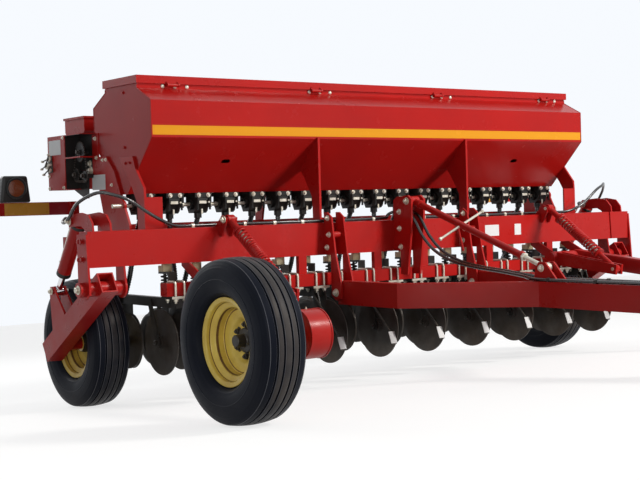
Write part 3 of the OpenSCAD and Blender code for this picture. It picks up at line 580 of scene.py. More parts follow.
class Group(Tree):
    """A shader node group that takes a place and returns one socket."""

    def __init__(self, name: str, result: tuple[str, str], **inputs: float | None) -> None:
        """Starts the group.

        Args:
            name: its name.
            result: name and kind of its output.
            inputs: each input's default, or None for a colour, by name with _ for a space.
        """
        super().__init__(bpy.data.node_groups.new(name, "ShaderNodeTree"))
        face = self.tree.interface
        face.new_socket(name="Vector", in_out="INPUT", socket_type="NodeSocketVector")
        for key, value in inputs.items():
            kind = "NodeSocketColor" if value is None else "NodeSocketFloat"
            socket = face.new_socket(name=key.replace("_", " "), in_out="INPUT", socket_type=kind)
            if value is not None:
                socket.default_value = value
        face.new_socket(name=result[0], in_out="OUTPUT", socket_type=f"NodeSocket{result[1]}")
        self.source = self.add("NodeGroupInput").outputs
        self.out = self.add("NodeGroupOutput").inputs[0]

    def close(self, value: Socket) -> bpy.types.NodeTree:
        """Leads a socket to the group's output and returns the group."""
        self.feed(self.out, value)
        return self.tree


class Effects:
    """The surface effects that several finishes share, each built once as a group."""

    def __init__(self) -> None:
        """Builds the groups."""
        self.dust = self.build_dust()
        self.chips = self.build_chips()
        self.ripple = self.build_ripple()
        self.mottle = self.build_mottle()

    def build_dust(self) -> bpy.types.NodeTree:
        """Builds the film of field dust: more on faces that look up and more near the ground.

        Returns:
            The group.
        """
        t = Group("FieldDust", ("Mask", "Float"), Scale=6, Amount=0.5, Reach=0.9)
        where, scale, amount, reach = (t.source[i] for i in range(4))
        up = t.split(t.add("ShaderNodeNewGeometry").outputs["Normal"])[2]
        low = t.maths("SUBTRACT", 1.0, t.maths("DIVIDE", t.split(where)[2], reach), clamp=True)
        top = t.maths("MULTIPLY", t.maths("MAXIMUM", up, 0.0), 0.55)
        place = t.maths("ADD", t.maths("ADD", top, low), 0.12)
        cloud = t.ranged(t.noise(where, scale, 6, 0.62), 0.32, 0.68)
        grit = t.ranged(t.noise(where, 190, 2, 0.7), 0.35, 0.8, (0.55, 1.0))
        mask = t.maths("MULTIPLY", t.maths("MULTIPLY", place, cloud), grit)
        return t.close(t.maths("MULTIPLY", mask, amount, clamp=True))

    def build_chips(self) -> bpy.types.NodeTree:
        """Builds the small chips and scratches of paint.

        Returns:
            The group.
        """
        t = Group("PaintChips", ("Mask", "Float"), Scale=30, Amount=0.3)
        where, scale, amount = (t.source[i] for i in range(3))
        patch = t.ranged(t.noise(where, 2.3, 2, 0.5), 0.52, 0.7)
        edge = t.maths("SUBTRACT", 0.78, t.maths("MULTIPLY", amount, 0.16))
        speck = t.maths("MULTIPLY", t.maths("SUBTRACT", t.noise(where, scale, 8, 0.7), edge), 26, clamp=True)
        return t.close(t.maths("MULTIPLY", speck, patch, clamp=True))

    def build_ripple(self) -> bpy.types.NodeTree:
        """Builds a height of shallow dents and fine orange peel.

        Returns:
            The group.
        """
        t = Group("SheetRipple", ("Height", "Float"), Dents=2.0, Peel=260)
        where, dents, peel = (t.source[i] for i in range(3))
        fine = t.maths("MULTIPLY", t.noise(where, peel, 2, 0.5), 0.035)
        return t.close(t.maths("ADD", t.noise(where, dents, 2, 0.45), fine))

    def build_mottle(self) -> bpy.types.NodeTree:
        """Builds a slow wander between two colours.

        Returns:
            The group.
        """
        t = Group("SlowMottle", ("Color", "Color"), Scale=1.5, Color_A=None, Color_B=None)
        where, scale, first, second = (t.source[i] for i in range(4))
        return t.close(t.mix(t.ranged(t.noise(where, scale, 5, 0.6), 0.35, 0.66), first, second))


@dataclass(frozen=True)
class Band:
    """A painted band across the grain box, by height in the drill's own frame."""

    low: float
    high: float
    front: float
    half: float
    colour: Point
    edge: float = 0.0012

    def over(self, t: Tree, where: Socket, colour: Socket) -> Socket:
        """Lays the band over a colour.

        Args:
            t: the material's tree.
            where: object coordinates.
            colour: the colour under the band.

        Returns:
            The colour with its band.
        """
        back = STANCE.matrix().inverted()
        turn = t.add("ShaderNodeMapping", Vector=where, vector_type="POINT", Rotation=back.to_euler(),
                     Location=[v / 1000 for v in back.to_translation()])
        x, y, z = t.split(turn.outputs[0])
        above, below, ahead, inside = (
            t.ranged(value, limit / 1000, limit / 1000 + edge) for value, limit, edge in (
                (z, self.low, self.edge), (z, self.high, -self.edge), (y, self.front, -self.edge),
                (t.maths("ABSOLUTE", x), self.half, -self.edge)))
        mask = t.maths("MULTIPLY", t.maths("MULTIPLY", above, below), t.maths("MULTIPLY", ahead, inside))
        return t.mix(mask, colour, self.colour)


@dataclass(frozen=True)
class Finish:
    """One finish: the record's slot it stands for, its colours, gloss, wear and dust."""

    name: str
    slot: str
    colour: Point
    aged: Point
    metallic: float = 0.0
    rough: float = 0.35
    rough_spread: float = 0.12
    coat: float = 0.0
    specular: float = 0.35
    dust: float = 0.35
    dust_reach: float = 0.9
    dust_colour: Point = (0.34, 0.27, 0.19)
    chips: float = 0.3
    chip_colour: Point = (0.11, 0.08, 0.07)
    mottle_scale: float = 1.3
    dents: float = 2.0
    bump: float = 0.05
    peel: float = 260
    grain: float = 0.0
    band: Band | None = None

    def material(self, effects: Effects) -> Material:
        """Builds the material on the shared node groups.

        Args:
            effects: the shared groups.

        Returns:
            The material.
        """
        mat = bpy.data.materials.new(self.name)
        mat.use_nodes = True
        t = Tree(mat.node_tree)
        shader = mat.node_tree.nodes["Principled BSDF"].inputs
        where = t.object_place()
        shader["Metallic"].default_value = self.metallic
        shader["Specular IOR Level"].default_value = self.specular
        shader["Coat Weight"].default_value = self.coat
        shader["Coat Roughness"].default_value = 0.12

        def placed(group: bpy.types.NodeTree, **values: object) -> Socket:
            """Places a shared group with its own values and returns its output."""
            return t.add("ShaderNodeGroup", node_tree=group, Vector=where, **values).outputs[0]

        colour = placed(effects.mottle, Scale=self.mottle_scale, Color_A=self.colour, Color_B=self.aged)
        if self.band:
            colour = self.band.over(t, where, colour)
        chips = placed(effects.chips, Scale=120, Amount=self.chips)
        dust = placed(effects.dust, Scale=5.5, Amount=self.dust, Reach=self.dust_reach)
        colour = t.mix(dust, t.mix(chips, colour, self.chip_colour), self.dust_colour)
        t.feed(shader["Base Color"], colour)
        gloss = (self.rough - self.rough_spread, self.rough + self.rough_spread)
        smear = t.ranged(t.noise(where, 7, 5, 0.6), 0.3, 0.7, gloss)
        wear = t.maths("MULTIPLY", t.maths("ADD", dust, chips), 0.45)
        t.feed(shader["Roughness"], t.maths("ADD", smear, wear, clamp=True))
        ripple = placed(effects.ripple, Dents=self.dents, Peel=self.peel)
        height = t.maths("SUBTRACT", ripple, t.maths("MULTIPLY", chips, 0.05))
        if self.grain > 0:
            height = t.maths("ADD", height, t.maths("MULTIPLY", t.noise(where, 900, 3, 0.6), self.grain))
        bump = t.add("ShaderNodeBump", Strength=1.0, Distance=self.bump * 0.02, Height=height)
        t.feed(shader["Normal"], bump.outputs[0])
        return mat


RED, AGED_RED = (0.47, 0.011, 0.009), (0.4, 0.011, 0.01)
FINISHES = {
    "red": Finish(
        "RedEnamel", "red_paint", RED, AGED_RED, rough=0.34, coat=0.03, specular=0.2, dust=0.16, dust_reach=0.7,
        chips=0.0, bump=0.06, dust_colour=(0.24, 0.1, 0.07)),
    "box_red": Finish(
        "RedBoxEnamel", "red_paint", RED, AGED_RED, rough=0.24, rough_spread=0.05, coat=0.03, specular=0.14, dust=0.03,
        chips=0.0, bump=0.12, dents=1.5, band=Band(1502, 1559, 3, 1829, (0.78, 0.33, 0.016))),
    "black": Finish(
        "BlackPaint", "black_paint", (0.01, 0.01, 0.011), (0.016, 0.015, 0.014), rough=0.38, specular=0.3, dust=0.3,
        dust_reach=0.6, chips=0.5, chip_colour=(0.14, 0.1, 0.08)),
    "board": Finish(
        "BoardSteel", "board_steel", (0.1, 0.1, 0.1), (0.16, 0.15, 0.14), metallic=0.6, rough=0.5, dust=0.6),
    "bare": Finish(
        "SoilSteel", "zinc", (0.075, 0.07, 0.066), (0.04, 0.03, 0.024), metallic=0.5, rough=0.42, rough_spread=0.14,
        dust=0.35, dust_reach=0.4, mottle_scale=6, chips=0.6, chip_colour=(0.1, 0.045, 0.02)),
    "zinc": Finish(
        "ZincPlate", "zinc", (0.8, 0.77, 0.68), (0.62, 0.58, 0.47), metallic=0.45, rough=0.34, dust=0.15,
        mottle_scale=18, chips=0.3, chip_colour=(0.3, 0.2, 0.12)),
    "chrome": Finish(
        "ChromeRod", "zinc", (0.78, 0.78, 0.8), (0.72, 0.72, 0.74), metallic=1.0, rough=0.1, rough_spread=0.04,
        dust=0.08, chips=0.0, bump=0.01),
    "hose": Finish(
        "HoseRubber", "black_paint", (0.008, 0.008, 0.009), (0.013, 0.013, 0.013), rough=0.24, rough_spread=0.06,
        coat=0.5, specular=0.5, dust=0.08, chips=0.0, bump=0.03, grain=0.05),
    "press": Finish(
        "PressRubber", "black_paint", (0.014, 0.013, 0.013), (0.022, 0.02, 0.018), rough=0.6, dust=0.45,
        dust_reach=0.4, chips=0.0, grain=0.2),
    "tyre": Finish(
        "TyreRubber", "tyre_rubber", (0.006, 0.0075, 0.013), (0.009, 0.011, 0.018), rough=0.42, rough_spread=0.07,
        specular=0.05, dust=0.06, dust_reach=0.3, dust_colour=(0.12, 0.105, 0.09), chips=0.0, mottle_scale=5,
        grain=0.25),
    # Painted highlight: the lighter rubber of the rib edges stands in for the sheen along their rounded corners.
    "edge": Finish(
        "RibEdgeHighlight", "tyre_rubber", (0.06, 0.065, 0.085), (0.1, 0.1, 0.11), rough=0.36, rough_spread=0.08, specular=0.3,
        dust=0.1, dust_reach=0.4, chips=0.0, mottle_scale=4, bump=0.03, grain=0.2),
    "worn": Finish(
        "WornTread", "tyre_rubber", (0.008, 0.01, 0.017), (0.06, 0.054, 0.052), rough=0.44, rough_spread=0.1,
        specular=0.1, dust=0.1, dust_reach=0.4, dust_colour=(0.2, 0.17, 0.14), chips=0.0, mottle_scale=3.2,
        grain=0.3),
    "cream": Finish(
        "CreamCasting", "zinc", (0.72, 0.66, 0.44), (0.58, 0.5, 0.3), rough=0.42, dust=0.25, mottle_scale=9,
        chips=0.5, chip_colour=(0.22, 0.15, 0.08)),
    # Painted shade: this brown, laid as thin rings in the rim's corners, stands in for the shade there.
    "rust": Finish(
        "RimCornerShade", "rim_paint", (0.24, 0.13, 0.035), (0.12, 0.055, 0.02), rough=0.62, dust=0.3, dust_reach=0.5,
        mottle_scale=14, chips=0.5, chip_colour=(0.09, 0.04, 0.02), grain=0.3),
    "rim": Finish(
        "MustardEnamel", "rim_paint", (0.82, 0.62, 0.11), (0.66, 0.46, 0.085), rough=0.36, coat=0.1, dust=0.55,
        dust_reach=0.6, dust_colour=(0.3, 0.18, 0.05), mottle_scale=7, chips=0.9, chip_colour=(0.2, 0.1, 0.03)),
    "housing": Finish(
        "LampHousing", "lamp_plastic", (0.012, 0.012, 0.012), (0.018, 0.018, 0.018), rough=0.42, dust=0.2, chips=0.0,
        grain=0.3),
    "lens": Finish(
        "AmberLens", "lamp_plastic", (0.3, 0.075, 0.02), (0.2, 0.04, 0.012), rough=0.14, rough_spread=0.05, coat=0.6,
        dust=0.15, chips=0.0, peel=420, bump=0.2),
    "amber_tape": Finish(
        "AmberTape", "lamp_plastic", (0.72, 0.38, 0.05), (0.6, 0.3, 0.04), rough=0.3, coat=0.2, dust=0.2, chips=0.1,
        peel=500),
    "red_tape": Finish(
        "RedTape", "red_paint", (0.36, 0.012, 0.02), (0.3, 0.012, 0.02), rough=0.3, coat=0.2, dust=0.2, chips=0.1,
        peel=500),
    "white": Finish(
        "WhitePlate", "lamp_plastic", (0.82, 0.83, 0.84), (0.74, 0.75, 0.76), rough=0.38, dust=0.25, chips=0.2),
}
NODE_FINISHES = {
    "black": ("feed_cups", "opener_clamps", "opener_beams", "opener_springs", "jack_tube", "drive_sprockets"),
    "bare": ("jack_leg", "disc_blades", "coulters_front", "coulters_rear"),
    "zinc": ("feed_shaft", "turnbuckle_screw"),
    "hose": ("seed_tubes", "frame_hoses", "hitch_hoses"),
    "press": ("press_wheels_front", "press_wheels_rear"),
    "chrome": ("lift_rod_right", "lift_rod_left"),
    "box_red": ("hopper", "hopper_ends"),
    "housing": ("lamps",),
    "board": ("walkboard",),
}


def dress(nodes: dict[str, bpy.types.Object], materials: dict[str, Material]) -> None:
    """Gives every CAD node its finish; what isn't named is red.

    Args:
        nodes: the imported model's objects by node name.
        materials: the material of each finish.
    """
    chosen = {name: finish for finish, names in NODE_FINISHES.items() for name in names}
    for name, obj in nodes.items():
        kind = name.split("_")[0]
        finish = kind if kind in ("tyre", "rim") else chosen.get(name, "red")
        obj.data.materials.clear()
        obj.data.materials.append(materials[finish])
        for face in obj.data.polygons:
            face.material_index = 0


# Sub-assemblies


@dataclass(frozen=True)
class Rows:
    """Spacing of the seed rows; even rows are the rear rank."""

    count: int = 18
    pitch: float = 203.2
    step: float = 300

    def x(self, i: int) -> float:
        """Returns the sideways position of a row."""
        return (i - (self.count - 1) / 2) * self.pitch

    def rank(self, i: int) -> Rank:
        """Returns the rank of a row."""
        return Rank.FRONT if i % 2 else Rank.REAR

    def back(self, i: int) -> float:
        """Returns how far a row's opener is set back."""
        return self.step if self.rank(i) is Rank.REAR else 0.0


ROWS = Rows()


@dataclass
class Assembly:
    """A group of pieces that take their looks from the same materials."""

    materials: dict[str, Material]

    def piece(self, name: str, finish: str, body: str = "frame", copies: Copies = Copies.DRAWN) -> Piece:
        """Starts a piece in one finish."""
        return Piece(name, body, self.materials[finish], FINISHES[finish].slot, copies)

    def blocks(self, name: str, finish: str, *sizes: Sequence[float], copies: Copies = Copies.DRAWN) -> None:
        """Builds a piece on the frame from blocks alone.

        Args:
            name: its name.
            finish: the key of its finish.
            sizes: the sizes of each block.
            copies: where the blocks go.
        """
        piece = self.piece(name, finish, copies=copies)
        for size in sizes:
            piece.block(*size)
        piece.build()


@dataclass
class GrainBox(Assembly):
    """Fasteners, latches and folded edges of the grain box and the small seeds box."""

    half: float = 1828.8
    end: float = 6.0
    depth: float = 720
    hinge_x: tuple[float, ...] = (-1577, -490, 578, 1644)
    hinge_bolt: float = 84

    def build(self) -> None:
        """Builds the box's trim, with the blank plates on the main tube under it."""
        self.build_neck_bolts()
        self.build_end_trim()
        self.build_latches()
        self.blocks("blank_plates", "white", *((low, high, -44, -43, 818, 896, 0.4)
                                               for low, high in ((772, 908), (1064, 1128))))
        self.build_beads()

    def build_neck_bolts(self) -> None:
        """Builds the bolts of the lid's hinges on the neck, in threes, and the rivets behind."""
        bolts = self.piece("neck_bolts", "zinc")
        dome = [(0, -0.4), (12.5, -0.4), (12.5, 2), (10, 5), (5, 7), (0, 7.6)]
        for x in self.hinge_x:
            for away in (-self.hinge_bolt, 0, self.hinge_bolt):
                bolts.turned(dome, (x + away, 160.8, 1801), FORE, 18)
        for k in range(7):
            bolts.bolt(12, (-1810 + k * 603, 559, 1800), AFT, 11 * k, washer=False)
        bolts.build()

    def build_end_trim(self) -> None:
        """Builds the folded lips and bolts of the end panels."""
        lips = self.piece("end_panel_lips", "red", copies=Copies.BOTH)
        front = [(0, 1488), (0, 1706), (161, 1788), (161, 1806)]
        rear = [(self.depth - y, z) for y, z in front]
        for path in (front, rear, [(0, 1488), (310, 1166)], [(720, 1488), (410, 1166)], [(310, 1166), (410, 1166)]):
            lips.add(swept([Vector((-self.half - self.end - 0.2, y, z)) for y, z in path], 2.6, 6))
        lips.build()
        for name, finish, spots in (
                ("end_panel_rivets", "red", ((330, 1772), (330, 1445), (250, 1350), (300, 1350))),
                ("end_leg_bolts", "zinc", ((548, 1382), (590, 1382), (480, 1225)))):
            bolts = self.piece(name, finish)
            for y, z in spots:
                out = self.half + self.end + (15 if z < 1400 else 0)
                for s in (-1, 1):
                    bolts.bolt(13, (s * out, y, z), (s, 0, 0), y)
            bolts.build()

    def build_latches(self) -> None:
        """Builds the rubber latches at the rear of the lid, and the grips of both lids."""
        self.blocks("lid_latches", "housing", *(
            size for x in (-1300, 0, 1300)
            for size in ((x - 16, x + 16, 573, 581, 1745, 1812, 2), (x - 22, x + 22, 566, 580, 1736, 1752, 2))))
        for name, body, half, z, r, bow in (
                ("lid_grips", "lid", 900, 1838, 6,
                 ((-70, 573), (-66, 600), (-50, 612), (50, 612), (66, 600), (70, 573))),
                ("small_lid_grip", "small_lid", 700, 1665, 5, ((-60, 1147), (-55, 1166), (55, 1166), (60, 1147)))):
            grips = self.piece(name, "red", body)
            for x in (-half, half):
                grips.add(swept(curved([(x + away, y, z) for away, y in bow], 5), r, 8))
            grips.build()

    def build_beads(self) -> None:
        """Builds the weld beads of the upright plates."""
        beads = self.piece("upright_weld_beads", "red")
        for x in (-649, -631, 631, 649):
            path = [Vector((x, -14 + 73 * k / 12, 957.5 + (k % 2) * 0.6)) for k in range(13)]
            beads.add(swept(path, lambda i: 4.2 + (i % 2) * 0.9, 6))
            beads.add(swept([Vector((x, 0, 1492)), Vector((x, 170, 1316))], 3.4, 6))
        beads.build()


@dataclass
class FeedRow(Assembly):
    """Feed cups with their gates and levers, and the ribbed seed tubes."""

    shaft_y: float = 360
    shaft_z: float = 1095
    tube_foot: float = 319
    smooth_r: float = 16.5
    crest_r: float = 17.5
    groove_r: float = 14.5
    steps: int = 26

    def build(self) -> None:
        """Builds the details of both banks of cups, and the tubes."""
        cast = self.piece("cup_castings", "black")
        bright = self.piece("cup_fittings", "zinc")
        for i in range(ROWS.count):
            self.build_front_cup(cast, bright, i)
        for i in range(ROWS.count - 1):
            self.build_rear_cup(cast, bright, i)
        cast.build()
        bright.build()
        self.build_tubes()

    def build_front_cup(self, cast: Piece, bright: Piece, i: int) -> None:
        """Adds a front cup's flanges, bosses, gate and bolts.

        Args:
            cast: the piece that holds the castings.
            bright: the piece that holds the plated fittings.
            i: the row's number.
        """
        x = ROWS.x(i)
        boss = [(30, 0), (34, 2), (34, 14), (31, 16), (20, 16), (20, 0)]
        cast.block(x - 60, x + 60, 286, 296, 1136, 1166)
        cast.block(x - 60, x + 60, 416, 426, 1140, 1166)
        for s in (-1, 1):
            cast.turned(boss, (x + s * 48, self.shaft_y, self.shaft_z), (s, 0, 0), closed=True)
        for away in (-44, 44):
            cast.block(x + away - 4, x + away + 4, 278, 292, 1060, 1136, 1)
        for away, spin in ((-34, 10 * i), (34, 13 * i)):
            bright.bolt(17, (x + away, 285.5, 1151), FORE, spin)
        bright.block(x - 32, x + 20, 284, 288, 1098, 1116, 1)
        bright.rod((x + 34, 288, 1107), (x + 34, 276, 1107), 6, 10)
        bright.block(x - 6, x + 6, 306, 312, 1034, 1066, 1)

    def build_rear_cup(self, cast: Piece, bright: Piece, i: int) -> None:
        """Adds the flanges, shaft and bolts of a cup of the second bank.

        Args:
            cast: the piece that holds the castings.
            bright: the piece that holds the plated fittings.
            i: the number of the row beside it.
        """
        x = ROWS.x(i) + ROWS.pitch / 2
        cast.block(x - 49, x + 49, 419, 425.5, 1148, 1178)
        cast.block(x - 49, x + 49, 500, 506, 1100, 1240)
        cast.rod((x - 47, 462, 1100), (x + 47, 462, 1100), 15, 16)
        for away, spin in ((-30, 9 * i), (30, 7 * i)):
            bright.bolt(15, (x + away, 419, 1163), FORE, spin)
        bright.block(x - 4, x + 4, 420, 425.5, 1082, 1128, 1)

    def tube_radius(self, k: int) -> float:
        """Gives a tube's radius: smooth at both ends, ribbed between them.

        Args:
            k: the number of the path's point.

        Returns:
            The radius.
        """
        if k < 3 or k > 3 * self.steps - 4:
            return self.smooth_r
        return self.crest_r if k % 2 else self.groove_r

    def build_tubes(self) -> None:
        """Builds each seed tube as a ribbed hose with a slight bow and a smooth collar at each end."""
        tubes = self.piece("ribbed_seed_tubes", "hose")
        bow = Vector((0, 14, 0))
        for i in range(ROWS.count):
            a = Vector((ROWS.x(i), self.shaft_y, 1018))
            b = Vector((ROWS.x(i), self.tube_foot + ROWS.back(i), 484))
            path = curved([a, a.lerp(b, 0.33) + bow * 0.6, a.lerp(b, 0.66) - bow, b], self.steps)
            tubes.add(swept(path, self.tube_radius, 12))
        tubes.build(replaces=["seed_tubes"], slot="seed_rubber", sharp=60)


@dataclass
class Openers(Assembly):
    """U-bolts, springs, scrapers and pins of the opener units."""

    bar_front: float = -76
    bar_back: float = 0
    bar_top: float = 640
    clamp_z: float = 548
    spring_y: float = 88
    spring_low: float = 552
    spring_high: float = 688
    guide_low: float = 702
    coulter_y: float = -150
    disc_y: float = 249
    press_y: float = 599

    def build(self) -> None:
        """Builds what is bolted to each opener."""
        self.build_u_bolts()
        self.build_springs()
        self.build_units()

    def build_u_bolts(self) -> None:
        """Builds two U-bolts, a strap and four nuts for each row."""
        bows = self.piece("toolbar_u_bolts", "zinc")
        f, b, t, low = self.bar_front - 8, self.bar_back + 8, self.bar_top + 7, self.clamp_z
        bow = ((f, low - 26), (f, t - 16), (f + 5, t - 4), (f + 18, t), (b - 18, t), (b - 5, t - 4), (b, t - 16),
               (b, low - 26))
        for i in range(ROWS.count):
            for k in (-30, 30):
                x = ROWS.x(i) + k
                bows.add(swept([Vector((x, y, z)) for y, z in bow], 7, 10))
                for y in (f, b):
                    bows.bolt(22, (x, y, low - 0.2), DOWN, 9 * i + k)
        bows.build()
        face = self.bar_front - 24
        self.blocks("u_bolt_straps", "zinc", *((ROWS.x(i) - 62, ROWS.x(i) + 62, face, face + 6.5, 549, 563)
                                               for i in range(ROWS.count)))

    def build_springs(self) -> None:
        """Builds the down-pressure springs over their rods, and the cream castings that guide the rods."""
        springs = self.piece("down_pressure_springs", "black")
        nuts = self.piece("spring_nuts", "zinc")
        heads = self.piece("spring_heads", "cream")
        y = self.spring_y
        for i in range(ROWS.count):
            x = ROWS.x(i)
            springs.add(coil((x, y, self.spring_low), (x, y, self.spring_high), 21, 4.6, 7.5))
            springs.rod((x, y, self.clamp_z), (x, y, self.spring_high + 2), 9, 12)
            springs.turned([(9, 0), (26, 0), (26, 5), (9, 5)], (x, y, self.clamp_z), UP, 18, True)
            nuts.bolt(24, (x, y, self.guide_low), UP, 20 * i, stud=14)
            heads.block(x - 31, x + 31, 52, 74, self.guide_low, 748, 4)
            heads.block(x - 24, x + 24, 74, 78, 706, 740, 2)
            for away in (-26, 26):
                heads.block(x + away - 5, x + away + 5, 72, 112, self.guide_low, 738, 3)
        springs.build(replaces=["opener_springs"])
        nuts.build()
        heads.build()

    def build_units(self) -> None:
        """Builds axle nuts, scrapers, hub caps and the pale plates of the front rank."""
        nuts = self.piece("opener_nuts", "black")
        scrapers = self.piece("disc_scrapers", "black")
        pale = self.piece("opener_plates", "white")
        for i in range(ROWS.count):
            x, back = ROWS.x(i), ROWS.back(i)
            coulter, disc, press = self.coulter_y + back, self.disc_y + back, self.press_y + back
            for s in (-1, 1):
                for across, out, y, z, spin, stud in (
                        (26, 32, coulter, 280, 8, 6), (24, 40, press, 255, 8, 6), (18, 40, disc + 80, 520, 5, 0),
                        (20, 43, disc - 6, 261, 12, 0)):
                    nuts.bolt(across, (x + s * out, y, z), (s, 0, 0), spin * i, stud=stud)
                scrapers.block(x + s * 38 - 3, x + s * 38 + 3, disc + 96, disc + 150, 300, 470, 1)
            if ROWS.rank(i) is Rank.FRONT:
                tilt = Matrix.Translation((x - 30, coulter - 178, 222)) @ Matrix.Rotation(math.radians(-21), 4, "X")
                pale.add(block(-24, 24, -1.5, 1.5, -39, 39, 0.8), tilt)
                scrapers.add(block(-20, 20, 1.5, 5, -45, 41, 1), tilt)
                scrapers.block(x - 44, x - 24, -70, -44, 500, 540, 2)
                scrapers.rod((x - 38, -58, 512), (x - 38, coulter - 160, 262), 6, 10)
        nuts.build()
        scrapers.build()
        pale.build()


@dataclass
class FrontWheelGear(Assembly):
    """Coil struts of the front wheel arms, with the arms' and drums' fasteners."""

    lever_x: float = 1375
    top: Flat = (-90, 998)
    end: Flat = (-693, 574)
    arm_x: float = 1897
    axle: Flat = FRONT_AXLE

    def build(self) -> None:
        """Builds the struts and the fasteners."""
        self.build_struts()
        self.build_fasteners()

    def along(self, t: float) -> Vector:
        """Returns the point at a share of the strut's length."""
        return Vector((-self.lever_x, *self.top)).lerp(Vector((-self.lever_x, *self.end)), t)

    def build_struts(self) -> None:
        """Builds the clevises, rods, seats and coils of both struts."""
        strut = self.piece("coil_struts", "red", copies=Copies.BOTH)
        x, y = -self.lever_x, self.end[0]
        ears = [(-43, 956), (17, 956), (-63, 1024), (-114, 1008), (-106, 974), (-57, 896), (-43, 896)]
        lugs = [(y - 20, 556), (y + 24, 552), (y + 22, 596), (y - 14, 596)]
        for s in (-1, 1):
            strut.add(plate(ears, x + s * 34 - 6, 12))
            strut.add(plate(lugs, x + s * 14 - 4, 8))
        for low, high, r in ((-0.01, 0.02, 27), (0.0, 0.18, 20), (0.16, 0.18, 40), (0.745, 0.765, 40), (0.76, 1.0, 18)):
            strut.rod(self.along(low), self.along(high), r)
        strut.add(coil(self.along(0.18), self.along(0.745), 30.5, 7.6, 18, 10))
        strut.rod((x - 24, *self.top), (x + 24, *self.top), 28)
        strut.rod((x - 18, *self.end), (x + 18, *self.end), 28)
        strut.build(replaces=["front_struts"])
        core = self.piece("strut_rods", "zinc", copies=Copies.BOTH)
        core.rod(self.along(0.17), self.along(0.77), 15)
        for spot, half in ((self.top, 44), (self.end, 38)):
            core.rod((x - half, *spot), (x + half, *spot), 12)
            core.bolt(26, (x - half, *spot), OUT, stud=6)
        core.build()

    def build_fasteners(self) -> None:
        """Builds the drums' bolts, grease nipples and lips."""
        bolts = self.piece("drum_bolts", "zinc", copies=Copies.BOTH)
        y, z = self.axle
        for k in range(4):
            a = math.radians(45 + 90 * k)
            bolts.bolt(18, (-self.arm_x + 70, y + 78 * math.cos(a), z + 78 * math.sin(a)), IN)
        bolts.turned([(0, 0), (5, 0), (5, 6), (3, 7), (3.5, 11), (0, 12)], (-self.arm_x, y, z + 119), UP, 10)
        bolts.bolt(24, (-1650, -160, 640), OUT)
        bolts.build()
        lips = self.piece("drum_lips", "red", copies=Copies.BOTH)
        for x in (-self.arm_x - 58, -self.arm_x + 62):
            lips.turned([(112, 0), (123, 0), (123, 6), (112, 6)], (x, y, z), IN, 48, True)
        lips.build()


